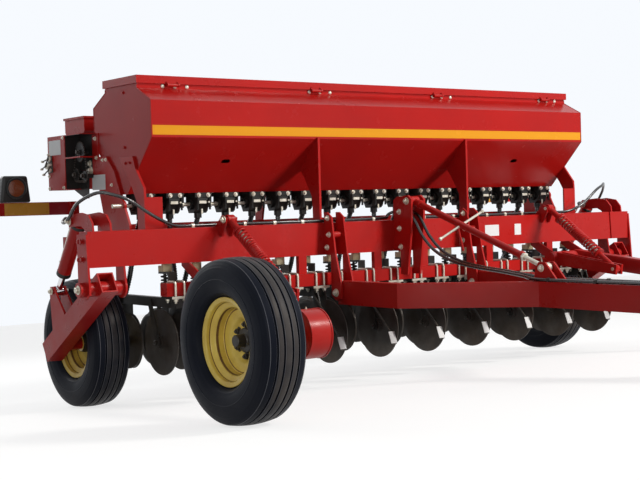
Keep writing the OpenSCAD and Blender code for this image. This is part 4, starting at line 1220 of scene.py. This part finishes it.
@dataclass
class RoadWheel(Assembly):
    """A ribbed implement tyre on its rim, with wheel bolts and a valve."""

    name: str
    side: Side
    x: float
    y: float
    z: float
    radius: float = 388.5
    width: float = 241
    tread_share: float = 0.387

    def build(self) -> None:
        """Builds the tyre, a front wheel's rim, and the wheel's small parts."""
        self.build_tyre()
        if self.name.startswith("front"):
            self.build_rim()
        self.build_fasteners()

    @property
    def tread(self) -> float:
        """Returns half the width of the tread."""
        return self.tread_share * self.width

    def part(self, name: str, finish: str) -> Piece:
        """Starts a piece of this wheel."""
        return self.piece(f"{name}_{self.name}", finish, f"wheel_{self.name}")

    def axle(self) -> Matrix:
        """Returns the move that puts the local Z on the axle, pointing outboard."""
        return aim((-self.side.value * self.x, self.y, self.z), (-self.side.value, 0, 0))

    def crown(self, a: float) -> float:
        """Returns the tread's radius at an offset from the middle."""
        return self.radius - 9 * (a / self.tread) ** 2

    def section(self) -> list[Flat]:
        """Draws the tyre's section.

        Returns:
            (radius, offset) pairs from one bead to the other.
        """
        tread = self.tread
        half = [(191, 66), (206, 69.5), (212, 73)]
        half += [(r, share * self.width) for r, share in (
            (218, 0.375), (228, 0.425), (233, 0.44), (237, 0.441), (246, 0.463), (270, 0.486), (293, 0.494),
            (312, 0.492), (326, 0.486), (340, 0.475), (345, 0.472), (349, 0.46), (353, 0.458), (360, 0.446),
            (367.5, 0.43), (372, 0.424), (374, 0.41))]
        half += [(self.crown(tread) - 1.2, tread + 1.5), (self.crown(tread), tread - 1)]
        for groove in (0.62, 0.24):
            for step, drop in ((0.07, 0), (0.052, 1.4), (0.04, 9), (-0.04, 9), (-0.052, 1.4), (-0.07, 0)):
                a = (groove + step) * tread
                half.append((self.crown(a) - drop, a))
            half.append((self.crown((groove - 0.19) * tread), (groove - 0.19) * tread))
        half.append((self.crown(0), 0.0))
        return half + [(r, -a) for r, a in reversed(half[:-1])]

    def build_tyre(self) -> None:
        """Builds the tyre and its two sidewall rings, with worn ribs and a painted highlight along the rib edges."""
        tyre = self.part("ribbed", "tyre")
        tyre.add(lathe(self.section(), 144, True), self.axle())
        for s in (-1, 1):
            tyre.add(lathe([(286, s * 118.4), (290, s * 120.3), (294, s * 118.4)], 96), self.axle())
        middle = Vector((-self.side.value * self.x, self.y, self.z))

        def over(spot: Vector, limit: float) -> float:
            """Measures a spot against the crown.

            Args:
                spot: the middle of a face.
                limit: share of the half tread up to which it counts.

            Returns:
                Its height over the crown, or a low value past the limit.
            """
            away = spot - middle
            inside = abs(away.x) / self.tread < limit
            return math.hypot(away.y, away.z) - self.crown(abs(away.x)) if inside else -self.radius

        tyre.paint(self.materials["worn"], lambda spot: over(spot, 0.56) > -0.5)
        # The thin band just under the crown at each rib's edge takes the painted highlight.
        tyre.paint(self.materials["edge"], lambda spot: -1.5 < over(spot, 1.02) < -0.5)
        tyre.build(replaces=[f"tyre_{self.name}"], sharp=40)

    def build_rim(self) -> None:
        """Builds a front wheel's rim with its rolled flanges, dished disc and short hub."""
        rim = self.part("rolled_rim", "rim")
        out = [(207.5, 72.6), (208, 75), (207.6, 78.6), (205.5, 80), (202, 79.6), (198, 77.8), (190, 76.4), (186, 74.4),
               (184, 70), (183.4, 64), (183.2, 54), (181.6, 50), (178, 47.6), (164, 42), (159, 39.4), (156.8, 36),
               (156, 31)]
        back = [(163, 36.4), (188, 46.6), (190.4, 50), (190.6, 68), (193, 71), (203, 71.6)]
        outer, inner = ([(r, -a) for r, a in reversed(part)] for part in (out, back))
        rim.add(lathe(out + outer + inner + back, 96, True), self.axle())
        disc = [(157, -8), (152, -7.4), (146, -8.4), (120, -12), (112, -13.2), (106, -15.6), (101, -20), (93, -30),
                (89, -33.6), (84, -35), (57, -35.6), (57, -42), (96, -44), (112, -24), (157, -18)]
        rim.add(lathe(disc, 96, True), self.axle())
        rim.add(lathe([(156.4, -7.6), (154, -4.4), (151, -7.2)], 96), self.axle())
        rim.build(replaces=[f"rim_{self.name}"], sharp=50)
        hub = self.part("hub", "black")
        hub.add(lathe([(0, 33.4), (18, 33), (26, 31.4), (29, 28), (29, -14), (33, -18), (49, -19), (56, -21), (59, -26),
                       (59, -36), (56, -52), (46, -69), (26, -69)], 48), self.axle())
        hub.build()

    def build_fasteners(self) -> None:
        """Builds the wheel bolts, the brown rings of painted shade in the rim's corners and the valve."""
        metal = self.part("wheel_bolts", "black")
        for k in range(6):
            a = TURN * (k + 0.5) / 6
            spot = Matrix.Translation((75 * math.cos(a), 75 * math.sin(a), -35.4))
            metal.add(hex_head(25, True, 8), self.axle() @ spot)
        if self.name.startswith("rear"):
            sleeve = [(49.5, 36), (58, 10), (58, -35), (59.4, -35), (59.4, 10.6), (52, 36.4), (50, 37)]
            metal.add(lathe(sleeve, 48, True), self.axle())
        metal.build()
        # Thin brown rings at the bead-seat corner, the well and the disc's edge paint the shade in the rim's corners.
        shade_rings = self.part("rim_corner_shade", "rust")
        for r, low, high in ((182.9, 51, 57), (155.6, 22, 35)):
            shade_rings.add(lathe([(r, low), (r, high), (r - 0.5, high), (r - 0.5, low)], 96, True), self.axle())
        shade_rings.add(lathe([(146, -7.6), (153, -6.6), (153, -7.2), (146, -8.2)], 96, True), self.axle())
        shade_rings.build()
        valve = self.part("valve", "housing")
        stem = curved([(154, 0, 30), (152, 0, 48), (146, 0, 62)], 4)
        valve.add(swept(stem, lambda i: 4.2 if i < 5 else 5.2, 10), self.axle())
        valve.build()


@dataclass
class RearLift(Assembly):
    """Pins, ports, gland, nuts and hose of a rear lift arm and its cylinder."""

    side: Side
    pin_x: float = 2186
    top: Flat = (244, 1015)
    low: Flat = (562, 598)
    rock: Flat = (-7, 632)
    rock_x: float = 2334.5
    plate_x: float = 2302
    cap_at: float = 26
    gland_at: float = 372
    ports_at: Flat = (60, 352)

    def part(self, name: str, finish: str, body: str = "frame") -> Piece:
        """Starts a piece on this arm's side.

        Args:
            name: its name without the side.
            finish: the key of its finish.
            body: its body without the side.

        Returns:
            The piece.
        """
        label = self.side.name.lower()
        copies = Copies.DRAWN if self.side is Side.RIGHT else Copies.MIRRORED
        return self.piece(f"{name}_{label}", finish, body if body == "frame" else f"{body}_{label}", copies)

    def build(self) -> None:
        """Builds the lift's small parts."""
        x = -self.pin_x
        top, low = Vector((x, *self.top)), Vector((x, *self.low))
        way = (low - top).normalized()
        out = Vector((0, -way.z, way.y))
        gland = self.part("cylinder_gland", "black", "cylinder")
        gland.turned([(20, 0), (40, 0), (43.5, 3), (43.5, 26), (40, 30), (20, 30)], top + way * self.gland_at, way, 36,
                     True)
        gland.turned([(42, 0), (45, 2), (45, 20), (42, 22)], top + way * self.cap_at, way, 36)
        gland.build()
        ports = self.part("cylinder_ports", "zinc", "cylinder")
        for d in self.ports_at:
            base = top + way * d + out * 38
            ports.rod(base, base + out * 18, 13, 16)
            ports.bolt(24, base + out * 18, out, washer=False)
        pipe = [top + way * d + out * h for d, h in ((60, 70), (90, 78), (320, 72), (352, 66))]
        ports.add(swept(curved(pipe), 6, 8))
        ports.build()
        arm = self.part("arm_pins", "zinc", "arm")
        nuts = self.part("gooseneck_nuts", "zinc")
        for s in (-1, 1):
            arm.rod((x + s * 40, *self.low), (x + s * 50, *self.low), 13)
            arm.bolt(24, (x + s * 46, *self.low), (s, 0, 0), stud=4)
            nuts.bolt(28, (x + s * 69, *self.top), (s, 0, 0), stud=8)
        arm.bolt(30, (-self.rock_x, *self.rock), OUT)
        arm.build()
        nuts.build()
        ends = self.part("tube_end_bolts", "red")
        for y, z in ((-10, 900), (26, 900), (-10, 800), (26, 800)):
            ends.bolt(22, (-self.plate_x, y, z), OUT)
        ends.build()
        self.build_hose()

    def build_hose(self) -> None:
        """Builds the hose from the frame to the cylinder's port, unattached to either body."""
        lead = self.part("cylinder_hose", "hose")
        knots = [(-2262, 214, 1046), (-2270, 244, 1019), (-2267, 290, 1006), (-2254, 328, 1014), (-2226, 352, 1030),
                 (-2196, 358, 1028), (-2186, 346, 1017), (-2186, 335, 1009)]
        lead.add(swept(curved(knots, 5), 10, 12))
        s = -self.side.value
        lead.reach(f"cylinder_{self.side.name.lower()}", (s * 2262, 236, 1030), (s * 2196, 350, 1022)).build()


@dataclass
class Hitch(Assembly):
    """Pins, nuts, grips and hoses of the hitch, the mast and the jack."""

    leg_x: float = 585
    face: float = 53
    hinge: Flat = (-150, 516.5)
    mast: Flat = (-175, 1079)
    screw: Flat = (-1330, 667)
    drawbar_bolts: Flat = (-2740, -2680)
    collar_at: float = 60
    handle_at: float = 478
    collar_end: float = 216
    nut_end: float = 192
    thread_end: float = 112
    jack: Flat = (-2350, 443)
    jack_low: float = 330
    crank_above: float = 515
    crank_long: float = 130
    crank_turn: float = 60
    hose_z: float = 601
    coupling_x: float = 46
    coupling_y: float = -2690
    coupling_long: float = 62
    tongue_clips: tuple[float, ...] = (-1400, -1750, -2100, -2450)
    tube_clips: tuple[Flat, ...] = ((-1560, 34), (-1200, 20), (-1000, -10), (-800, -28), (-480, -30), (-220, -21))

    def build(self) -> None:
        """Builds the hitch's small parts."""
        self.build_pins()
        self.build_turnbuckle()
        self.build_clips()
        self.build_hoses()
        self.build_jack()

    def build_pins(self) -> None:
        """Builds the bolts of the brackets, the mast and the tongue."""
        bolts = self.piece("bracket_bolts", "zinc")
        tongue = self.piece("tongue_bolts", "zinc", "hitch")
        for s in (-1, 1):
            for way in (-1, 1):
                for y, z in (self.hinge, (-90, 880), (-80, 985), (-70, 800)):
                    head = hex_head(30 if z < 600 else 22, True, 6)
                    head = head.moved(aim((-self.leg_x + way * self.face, y, z), (way, 0, 0)))
                    bolts.add(head if s < 0 else mirrored(head))
            for y, z in (self.mast, (-100, 1010), (-100, 900), (-110, 780)):
                bolts.bolt(28 if z > 1050 else 22, (s * 61, y, z), (s, 0, 0), stud=6)
            tongue.bolt(26, (s * 42, *self.screw), (s, 0, 0), stud=5)
            for y in self.drawbar_bolts:
                tongue.bolt(28, (s * 70, y, 520), (s, 0, 0))
        bolts.build()
        tongue.build()

    def build_turnbuckle(self) -> None:
        """Builds the turnbuckle's collars, handle, lock nut and the thread of its rod."""
        a, b = Vector((0, *self.mast)), Vector((0, *self.screw))
        way = (b - a).normalized()
        length = (b - a).length
        collar = self.piece("turnbuckle_collars", "red", "turnbuckle")
        for d in (self.collar_at, length - self.collar_end):
            collar.turned([(21, 0), (27, 0), (28, 2), (28, 20), (27, 22), (21, 22)], a + way * d, way, 32, True)
        collar.build()
        handle = self.piece("turnbuckle_handle", "zinc", "turnbuckle")
        middle, reach = a + way * self.handle_at, Vector((152, -28, 80))
        handle.rod(middle - reach, middle + reach, 7.5, 14)
        for s in (-1, 1):
            handle.turned([(7, 0), (11, 1), (12, 4), (12, 14), (9, 17), (0, 17.5)], middle + s * reach * 0.97,
                          s * reach, 14)
        handle.build()
        nut = self.piece("turnbuckle_lock_nut", "zinc", "turnbuckle")
        nut.turned([(17.4, 0), (25, 0), (26, 2), (26, 18), (25, 20), (17.4, 20)], a + way * (length - self.nut_end),
                   way, 6, True)
        nut.build()
        thread = self.piece("turnbuckle_thread", "zinc", "turnbuckle_rod")
        turns = [(14.1 + (0.7 if k % 2 else 0.0), 3.2 * k) for k in range(18)]
        thread.turned(turns, a + way * (length - self.thread_end), way, 20)
        thread.build()

    def build_clips(self) -> None:
        """Builds the hose couplings at the tongue's end and the clips on the tongue and the tube."""
        ends = self.piece("hose_couplings", "zinc", "hitch")
        clips = self.piece("hose_clips", "black", "hitch")
        z = self.hose_z
        for s in (-1, 1):
            x, y = s * self.coupling_x, self.coupling_y
            ends.rod((x, y, z), (x, y - self.coupling_long, z), 15, 18)
            ends.bolt(26, (x, y + 4, z), FORE, washer=False)
            for y in self.tongue_clips:
                clips.turned([(10.4, -9), (14, -9), (14, 9), (10.4, 9)], (s * 54, y, z), AFT, 16, True)
                clips.block(s * 54 - 14, s * 54 + 14, y - 9, y + 9, 589, 594, 1)
        ends.build()
        clips.build()
        tube = self.piece("tube_hose_clips", "zinc")
        for x, y in self.tube_clips:
            for s in (-1, 1):
                tube.block(s * x - 10, s * x + 10, max(y - 14, -42), y + 16, 955.5, 958.5, 0.8)
                tube.turned([(10.4, -10), (12.5, -10), (12.5, 10), (10.4, 10)], (s * x, y, 968.3), IN, 16, True)
        tube.build()

    def build_hoses(self) -> None:
        """Builds the hoses on the tube and the tongue, and the stretch at the mast between them, unattached to either
        body.
        """
        tube_run = ((-2262, 214, 1046), (-2240, 150, 1120), (-2160, 70, 1172), (-2080, 20, 1158), (-1990, 0, 1124),
                    (-1890, -6, 1060), (-1800, -6, 1010), (-1690, 20, 972), (-1560, 34, 968), (-1375, 36, 968),
                    (-1200, 20, 968), (-1000, -10, 968), (-800, -28, 968), (-640, -30, 968), (-480, -30, 968),
                    (-200, -20, 970), (-90, -8, 975))
        tongue_run = ((-30, -232, 930), (-30, -290, 850), (-30, -400, 760), (-30, -560, 695), (-30, -760, 660),
                      (-30, -1000, 637), (-30, -1160, 618), (-52, -1260, 604), (-56, -1380, 601), (-56, -1600, 601),
                      (-50, -2000, 601), (-50, -2400, 601), (-46, -2700, 601))
        for name, body, run in (("frame_hoses", "frame", tube_run), ("hitch_hoses", "hitch", tongue_run)):
            hose = self.piece(f"smooth_{name}", "hose", body, Copies.BOTH)
            hose.add(swept(curved(run), 10, 14))
            hose.build(replaces=[name], sharp=70)
        for side in Side:
            s = -side.value
            bridge = self.piece(f"mast_hose_{side.name.lower()}", "hose")
            knots = [(s * x, y, z) for x, y, z in (
                (90, -8, 975), (74, 2, 990), (50, -4, 1004), (33, -38, 1012), (30, -105, 1010), (30, -180, 986),
                (30, -232, 930))]
            bridge.add(swept(curved(knots), 10, 12))
            bridge.reach("hitch", (s * 50, -60, 1008), (s * 30, -226, 940)).build()

    def build_jack(self) -> None:
        """Builds the grip of the jack's crank, which stands upright while the drill's frame leans."""
        y, z = self.jack
        lean, crank = math.radians(STANCE.pitch), math.radians(self.crank_turn)
        upright = Matrix.Translation((0, y, z)) @ Matrix.Rotation(-lean, 4, "X") @ Matrix.Translation((0, -y, -z))
        ground = z - (STANCE.lift + y * math.sin(lean) + z * math.cos(lean))
        spot = (62, y - self.crank_long * math.sin(crank) + 4,
                ground + self.jack_low + self.crank_above + self.crank_long * math.cos(crank))
        grip = self.piece("jack_grip", "housing", "hitch")
        grip.add(lathe([(0, -3), (16, -3), (18, 4), (18, 66), (15, 74), (0, 75)], 20), upright @ aim(spot, OUT))
        grip.build()


@dataclass
class DriveEnd(Assembly):
    """Chain, levers, cover plates and blank signs of the drive case."""

    x: float = -1834.8
    sprockets: tuple[Point, ...] = ((800, 1440, 58), (858, 1300, 36), (742, 1290, 30))
    cover_out: float = 116
    chain_out: float = 61
    nut_out: float = 75
    wrap_step: float = 0.24
    link_pitch: float = 16
    radius_per_tooth: float = 2.4

    def build(self) -> None:
        """Builds the drive's details."""
        self.build_inside()
        self.build_chain()
        self.build_levers()
        self.build_plates()

    def build_inside(self) -> None:
        """Builds thin black sheets that paint the shade inside the open case, the guard under it and its cross bar."""
        x = self.x - 5
        inside = self.piece("case_shade_lining", "black")
        # Thin black sheets on the case's back wall, split wall and top paint the shade inside the open case.
        inside.add(plate([(745, 1330), (903, 1330), (903, 1546), (745, 1546)], x - 1.5, 1.4, 0))
        inside.add(plate([(802, 1150), (790, 1329), (1104, 1329), (1104, 1246), (858, 1150)], x - 3.5, 3.4, 0.8))
        inside.block(-1945.6, x - 0.5, 905.5, 908, 1213.5, 1546, 0.3)
        inside.block(-1950, x - 0.5, 691, 903, 1545.4, 1546.8, 0.2)
        inside.build()
        self.blocks("case_bar", "red", (-1950.5, -1944, 700, 905, 1402, 1411, 1),
                    (-1950.5, x, 692, 702, 1402, 1411, 1))

    def build_levers(self) -> None:
        """Builds the cluster of rate levers and knobs on the cover."""
        x = self.x - self.cover_out
        levers = self.piece("rate_levers", "zinc")
        steel = self.piece("rate_rods", "bare")
        steel.add(plate([(1076, 1325), (1149, 1316), (1149, 1352), (1140, 1425), (1088, 1432)], x - 5, 5))
        first, second, third = (1104, 1410), (1138, 1368), (1098, 1340)
        for spot, r in ((first, 19), (second, 23), (third, 16)):
            levers.turned([(0, -1), (r * 0.6, -1), (r * 0.6, 8), (r, 9), (r, 15), (r - 2, 17), (0, 17)],
                          (x - 4, *spot), OUT, 18)
            steel.bolt(14, (x - 20, *spot), OUT, washer=False)
        for a, b in ((first, (1172, 1396)), (second, (1186, 1348)), (third, (1158, 1312)), (second, (1080, 1436)),
                     (third, (1060, 1372))):
            steel.rod((x - 24, *a), (x - 28, *b), 4.5, 10)
            levers.rod((x - 20, *b), (x - 38, *b), 7.5, 12)
        levers.build()
        steel.build()

    def build_chain(self) -> None:
        """Builds the roller chain around the sprockets and the sprockets' teeth."""
        chain = self.piece("drive_chain", "bare")
        my, mz = (sum(s[i] for s in self.sprockets) / 3 for i in (0, 1))
        loop: list[Flat] = []
        for y, z, r in self.sprockets:
            away = math.atan2(z - mz, y - my)
            for a in (away + k * self.wrap_step for k in range(-4, 5)):
                loop.append((y + (r + 4) * math.cos(a), z + (r + 4) * math.sin(a)))
        loop.sort(key=lambda p: math.atan2(p[1] - mz, p[0] - my))
        x = self.x - self.chain_out
        points = [Vector((x, *spot)) for spot in loop + loop[:1]]
        link = block(-3, 3, -7, 7, -3.4, 3.4, 1.2)
        at = 0.0
        for a, b in zip(points, points[1:]):
            span, way = (b - a).length, (b - a).normalized()
            while at < span:
                turn = Matrix.Rotation(math.atan2(way.z, way.y), 4, "Z")
                chain.add(link, aim(a.lerp(b, at / span), IN) @ turn)
                at += self.link_pitch
            at -= span
        chain.build()
        teeth = self.piece("sprocket_teeth", "bare")
        for y, z, r in self.sprockets:
            count = int(r / self.radius_per_tooth)
            for k in range(count):
                c, s = math.cos(TURN * k / count), math.sin(TURN * k / count)
                spot = (x, y + (r - 2) * c, z + (r - 2) * s)
                teeth.turned([(3.4, 0), (3.4, 3), (1.2, 8), (0, 8)], spot, (0, c, s), 6)
            teeth.bolt(22, (self.x - self.nut_out, y, z), OUT)
        teeth.build()

    def build_plates(self) -> None:
        """Builds the blank white plates and the case's bolts."""
        x = self.x - self.cover_out
        self.blocks("blank_plates", "white", (x - 1.2, x, 960, 1132, 1432, 1526, 0.4),
                    (self.x - 9.4, self.x - 8, 576, 750, 1200, 1294, 0.4))
        self.blocks("plate_backing", "red", (self.x - 8, self.x - 4.8, 664, 748, 1211, 1290, 0.5))
        bolts = self.piece("case_bolts", "zinc")
        for y, z in ((925, 1222), (1132, 1222), (925, 1536), (1132, 1300)):
            bolts.bolt(13, (x, y, z), OUT)
        for y, z, across in ((778, 1368, 24), (771, 1321, 34), (690, 1400, 16), (700, 1520, 16)):
            bolts.bolt(across, (self.x - 5, y, z), OUT)
        bolts.build()


@dataclass
class Lights(Assembly):
    """Reflective tape, housings and lenses of the light bars."""

    back: float = 1214
    low: float = 1052
    high: float = 1137
    lamp_x: float = 2160
    lamp_z: float = 1229

    def build(self) -> None:
        """Builds the tapes on both faces of the bars, the bars' ends and the lamps."""
        y, low, high = self.back, self.low + 4, self.high - 4
        self.blocks("amber_tape", "amber_tape", (-2231, -1925, y - 0.9, y, low, high, 0.3), copies=Copies.BOTH)
        self.blocks("red_tape", "red_tape", (-1924, -1775, y - 0.9, y, low, high, 0.3),
                    (-2300, -1800, y + 20, y + 20.9, low, high, 0.3), copies=Copies.BOTH)
        self.blocks("bar_ends", "black", (-1774, -1731, y - 1.2, y + 20.5, self.low - 0.6, self.high + 0.6, 0.4),
                    copies=Copies.BOTH)
        self.build_lamps()

    def build_lamps(self) -> None:
        """Builds the rounded, tapered housings with a bezel and a stepped lens front and rear."""
        body = self.piece("lamp_bodies", "housing", copies=Copies.BOTH)
        lens = self.piece("lamp_lenses", "lens", copies=Copies.BOTH)
        corners = [Vector((-self.lamp_x + sx * half, y, z)) for sx in (-1, 1)
                   for y in (self.back - 25, self.back + 45)
                   for z, half in ((self.high + 0.5, 103), (self.high + 171, 82))]
        body.add(softened(cuboid(corners), 19, 4))
        ring = [(54, -1), (65, -1), (68, 3), (68, 13), (65, 16), (60, 16), (58, 9), (54, 8)]
        dome = [(0, 14), (10, 13.8), (11, 12.4), (22, 12.6), (23, 11.2), (34, 10.6), (35, 9.2), (46, 8.2), (47, 7),
                (57.5, 6), (57.5, 1), (0, 1)]
        for y, axis in ((self.back - 25, FORE), (self.back + 45, AFT)):
            body.turned(ring, (-self.lamp_x, y, self.lamp_z), axis, 48, True)
            lens.turned(dome, (-self.lamp_x, y, self.lamp_z), axis, 48)
        body.build(replaces=["lamps"], sharp=38)
        lens.build()


@dataclass
class Walkboard(Assembly):
    """Raised treads of the walkboard."""

    half: float = 1500
    front: float = 1214
    top: float = 853
    columns: int = 74
    lines: int = 4
    step: float = 39.5
    line_step: float = 56
    stagger: float = 19
    side_margin: float = 40
    front_margin: float = 36

    def build(self) -> None:
        """Builds the rows of raised buttons."""
        buttons = self.piece("board_treads", "board")
        button = lathe([(9, 0), (8, 3), (5, 3.4), (4.4, 1.5), (0, 1.4)], 10)
        for i in range(self.columns):
            for j in range(self.lines):
                x = -self.half + self.side_margin + i * self.step + (j % 2) * self.stagger
                y = self.front + self.front_margin + j * self.line_step
                buttons.add(button, Matrix.Translation((x, y, self.top)))
        buttons.build()


@dataclass(frozen=True)
class Lamp:
    """One square area lamp: where it hangs, what it points at, its watts, its side and its colour."""

    name: str
    spot: Point
    target: Point
    power: float
    size: float
    colour: Point
    in_gloss: bool = True

    def hang(self) -> None:
        """Hangs the lamp."""
        data = bpy.data.lights.new(self.name, "AREA")
        data.energy = self.power
        data.size = self.size
        data.color = self.colour
        obj = bpy.data.objects.new(self.name, data)
        obj.location = self.spot
        obj.rotation_euler = (Vector(self.spot) - Vector(self.target)).to_track_quat("Z", "Y").to_euler()
        obj.visible_glossy = self.in_gloss
        bpy.context.scene.collection.objects.link(obj)


LAMPS = (
    Lamp("KeyLamp", (6.0, -9.0, 8.5), (0, -0.2, 0.8), 1150, 2.6, (1.0, 0.97, 0.92)),
    Lamp("LowLamp", (5.5, -9.0, 1.6), (0, -0.2, 0.9), 600, 2.6, (1.0, 0.97, 0.93), in_gloss=False),
    Lamp("FillLamp", (-4.9, -3.0, 0.8), (-2.2, 0.2, 0.4), 32, 1.4, (1.0, 0.97, 0.92)),
    Lamp("RearLamp", (-3.0, 9.0, 6.0), (0, 0.5, 0.9), 260, 5.0, (1.0, 1.0, 1.0)),
)


@dataclass
class Studio:
    """Camera, floor, lamps and world."""

    focal_px: float = 1270.0
    yaw: float = 36.91
    pitch: float = 1.57
    roll: float = 1.59
    eye: Point = (-5485.11, -6449.11, 1067.51)
    shadow_light: float = 0.17
    sky: Point = (0.93, 0.96, 1.0)
    clip_end: float = 200
    floor_half: float = 60
    floor_rough: float = 0.85
    floor_glow: float = 0.72

    def build(self) -> None:
        """Builds the studio."""
        self.build_camera()
        self.build_floor()
        self.build_world()
        for lamp in LAMPS:
            lamp.hang()

    def build_camera(self) -> None:
        """Sets the camera where the photograph was taken from, in the drill's own frame."""
        yaw, pitch, roll = (math.radians(a) for a in (self.yaw, self.pitch, self.roll))
        ahead = Vector((math.sin(yaw), math.cos(yaw), 0))
        right = Vector((math.cos(yaw), -math.sin(yaw), 0))
        down = Vector((0, 0, -1))
        front = ahead * math.cos(pitch) + down * math.sin(pitch)
        under = down * math.cos(pitch) - ahead * math.sin(pitch)
        across = right * math.cos(roll) + under * math.sin(roll)
        under = under * math.cos(roll) - right * math.sin(roll)
        turn = Matrix((across, -under, -front)).transposed().to_4x4()
        world = STANCE.matrix() @ Matrix.Translation(Vector(self.eye)) @ turn
        world.translation /= 1000
        data = bpy.data.cameras.new("Camera")
        data.sensor_fit = "HORIZONTAL"
        data.sensor_width = SENSOR_WIDTH
        data.lens = SENSOR_WIDTH * self.focal_px / PHOTO_WIDTH_PX
        data.clip_end = self.clip_end
        camera = bpy.data.objects.new("Camera", data)
        camera.matrix_world = world
        bpy.context.scene.collection.objects.link(camera)
        bpy.context.scene.camera = camera

    def build_floor(self) -> None:
        """Lays a wide pale floor that shows white and keeps the drill's shadow."""
        mesh = bpy.data.meshes.new("studio_floor")
        h = self.floor_half
        mesh.from_pydata([(-h, -h, 0), (h, -h, 0), (h, h, 0), (-h, h, 0)], [], [(0, 1, 2, 3)])
        floor = bpy.data.objects.new("studio_floor", mesh)
        bpy.context.scene.collection.objects.link(floor)
        mat = bpy.data.materials.new("PaleFloor")
        mat.use_nodes = True
        t = Tree(mat.node_tree)
        shader = mat.node_tree.nodes["Principled BSDF"].inputs
        tone = t.noise(t.object_place(), 0.6, 3, 0.5)
        t.feed(shader["Base Color"], t.mix(tone, (0.3, 0.3, 0.298), (0.33, 0.33, 0.328)))
        shader["Roughness"].default_value = self.floor_rough
        path = t.add("ShaderNodeLightPath").outputs
        seen = t.maths("MAXIMUM", path["Is Camera Ray"], path["Is Glossy Ray"])
        t.feed(shader["Emission Color"], t.mix(seen, (0.0, 0.0, 0.0), (1.0, 1.0, 1.0)))
        shader["Emission Strength"].default_value = self.floor_glow
        floor.data.materials.append(mat)

    def build_world(self) -> None:
        """Sets the world: pale where it is seen, dim where it lights the drill."""
        world = bpy.data.worlds.new("World")
        bpy.context.scene.world = world
        world.use_nodes = True
        t = Tree(world.node_tree)
        back = world.node_tree.nodes["Background"].inputs
        path = t.add("ShaderNodeLightPath").outputs
        seen = t.maths("MAXIMUM", path["Is Camera Ray"], path["Is Transmission Ray"])
        seen = t.maths("MAXIMUM", seen, path["Is Glossy Ray"])
        t.feed(back["Color"], self.sky)
        t.feed(back["Strength"], t.ranged(seen, 0, 1, (self.shadow_light, 1.0)))


def main() -> None:
    """Loads the frame, dresses it and builds every sub-assembly; each piece reports itself."""
    logging.basicConfig(level=logging.INFO, format="%(message)s")
    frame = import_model()
    bpy.context.scene.view_settings.view_transform = "Standard"
    Studio().build()
    effects = Effects()
    materials = {key: finish.material(effects) for key, finish in FINISHES.items()}
    dress(frame["nodes"], materials)
    for kind in (GrainBox, FeedRow, Openers, FrontWheelGear):
        kind(materials).build()
    for end, x, (y, z) in (("front", 2276, FRONT_AXLE), ("rear", 2004, REAR_AXLE)):
        for side in Side:
            RoadWheel(materials, f"{end}_{side.name.lower()}", side, x, y, z).build()
    for side in Side:
        RearLift(materials, side).build()
    for kind in (Hitch, DriveEnd, Lights, Walkboard):
        kind(materials).build()


if __name__ == "__main__":
    main()
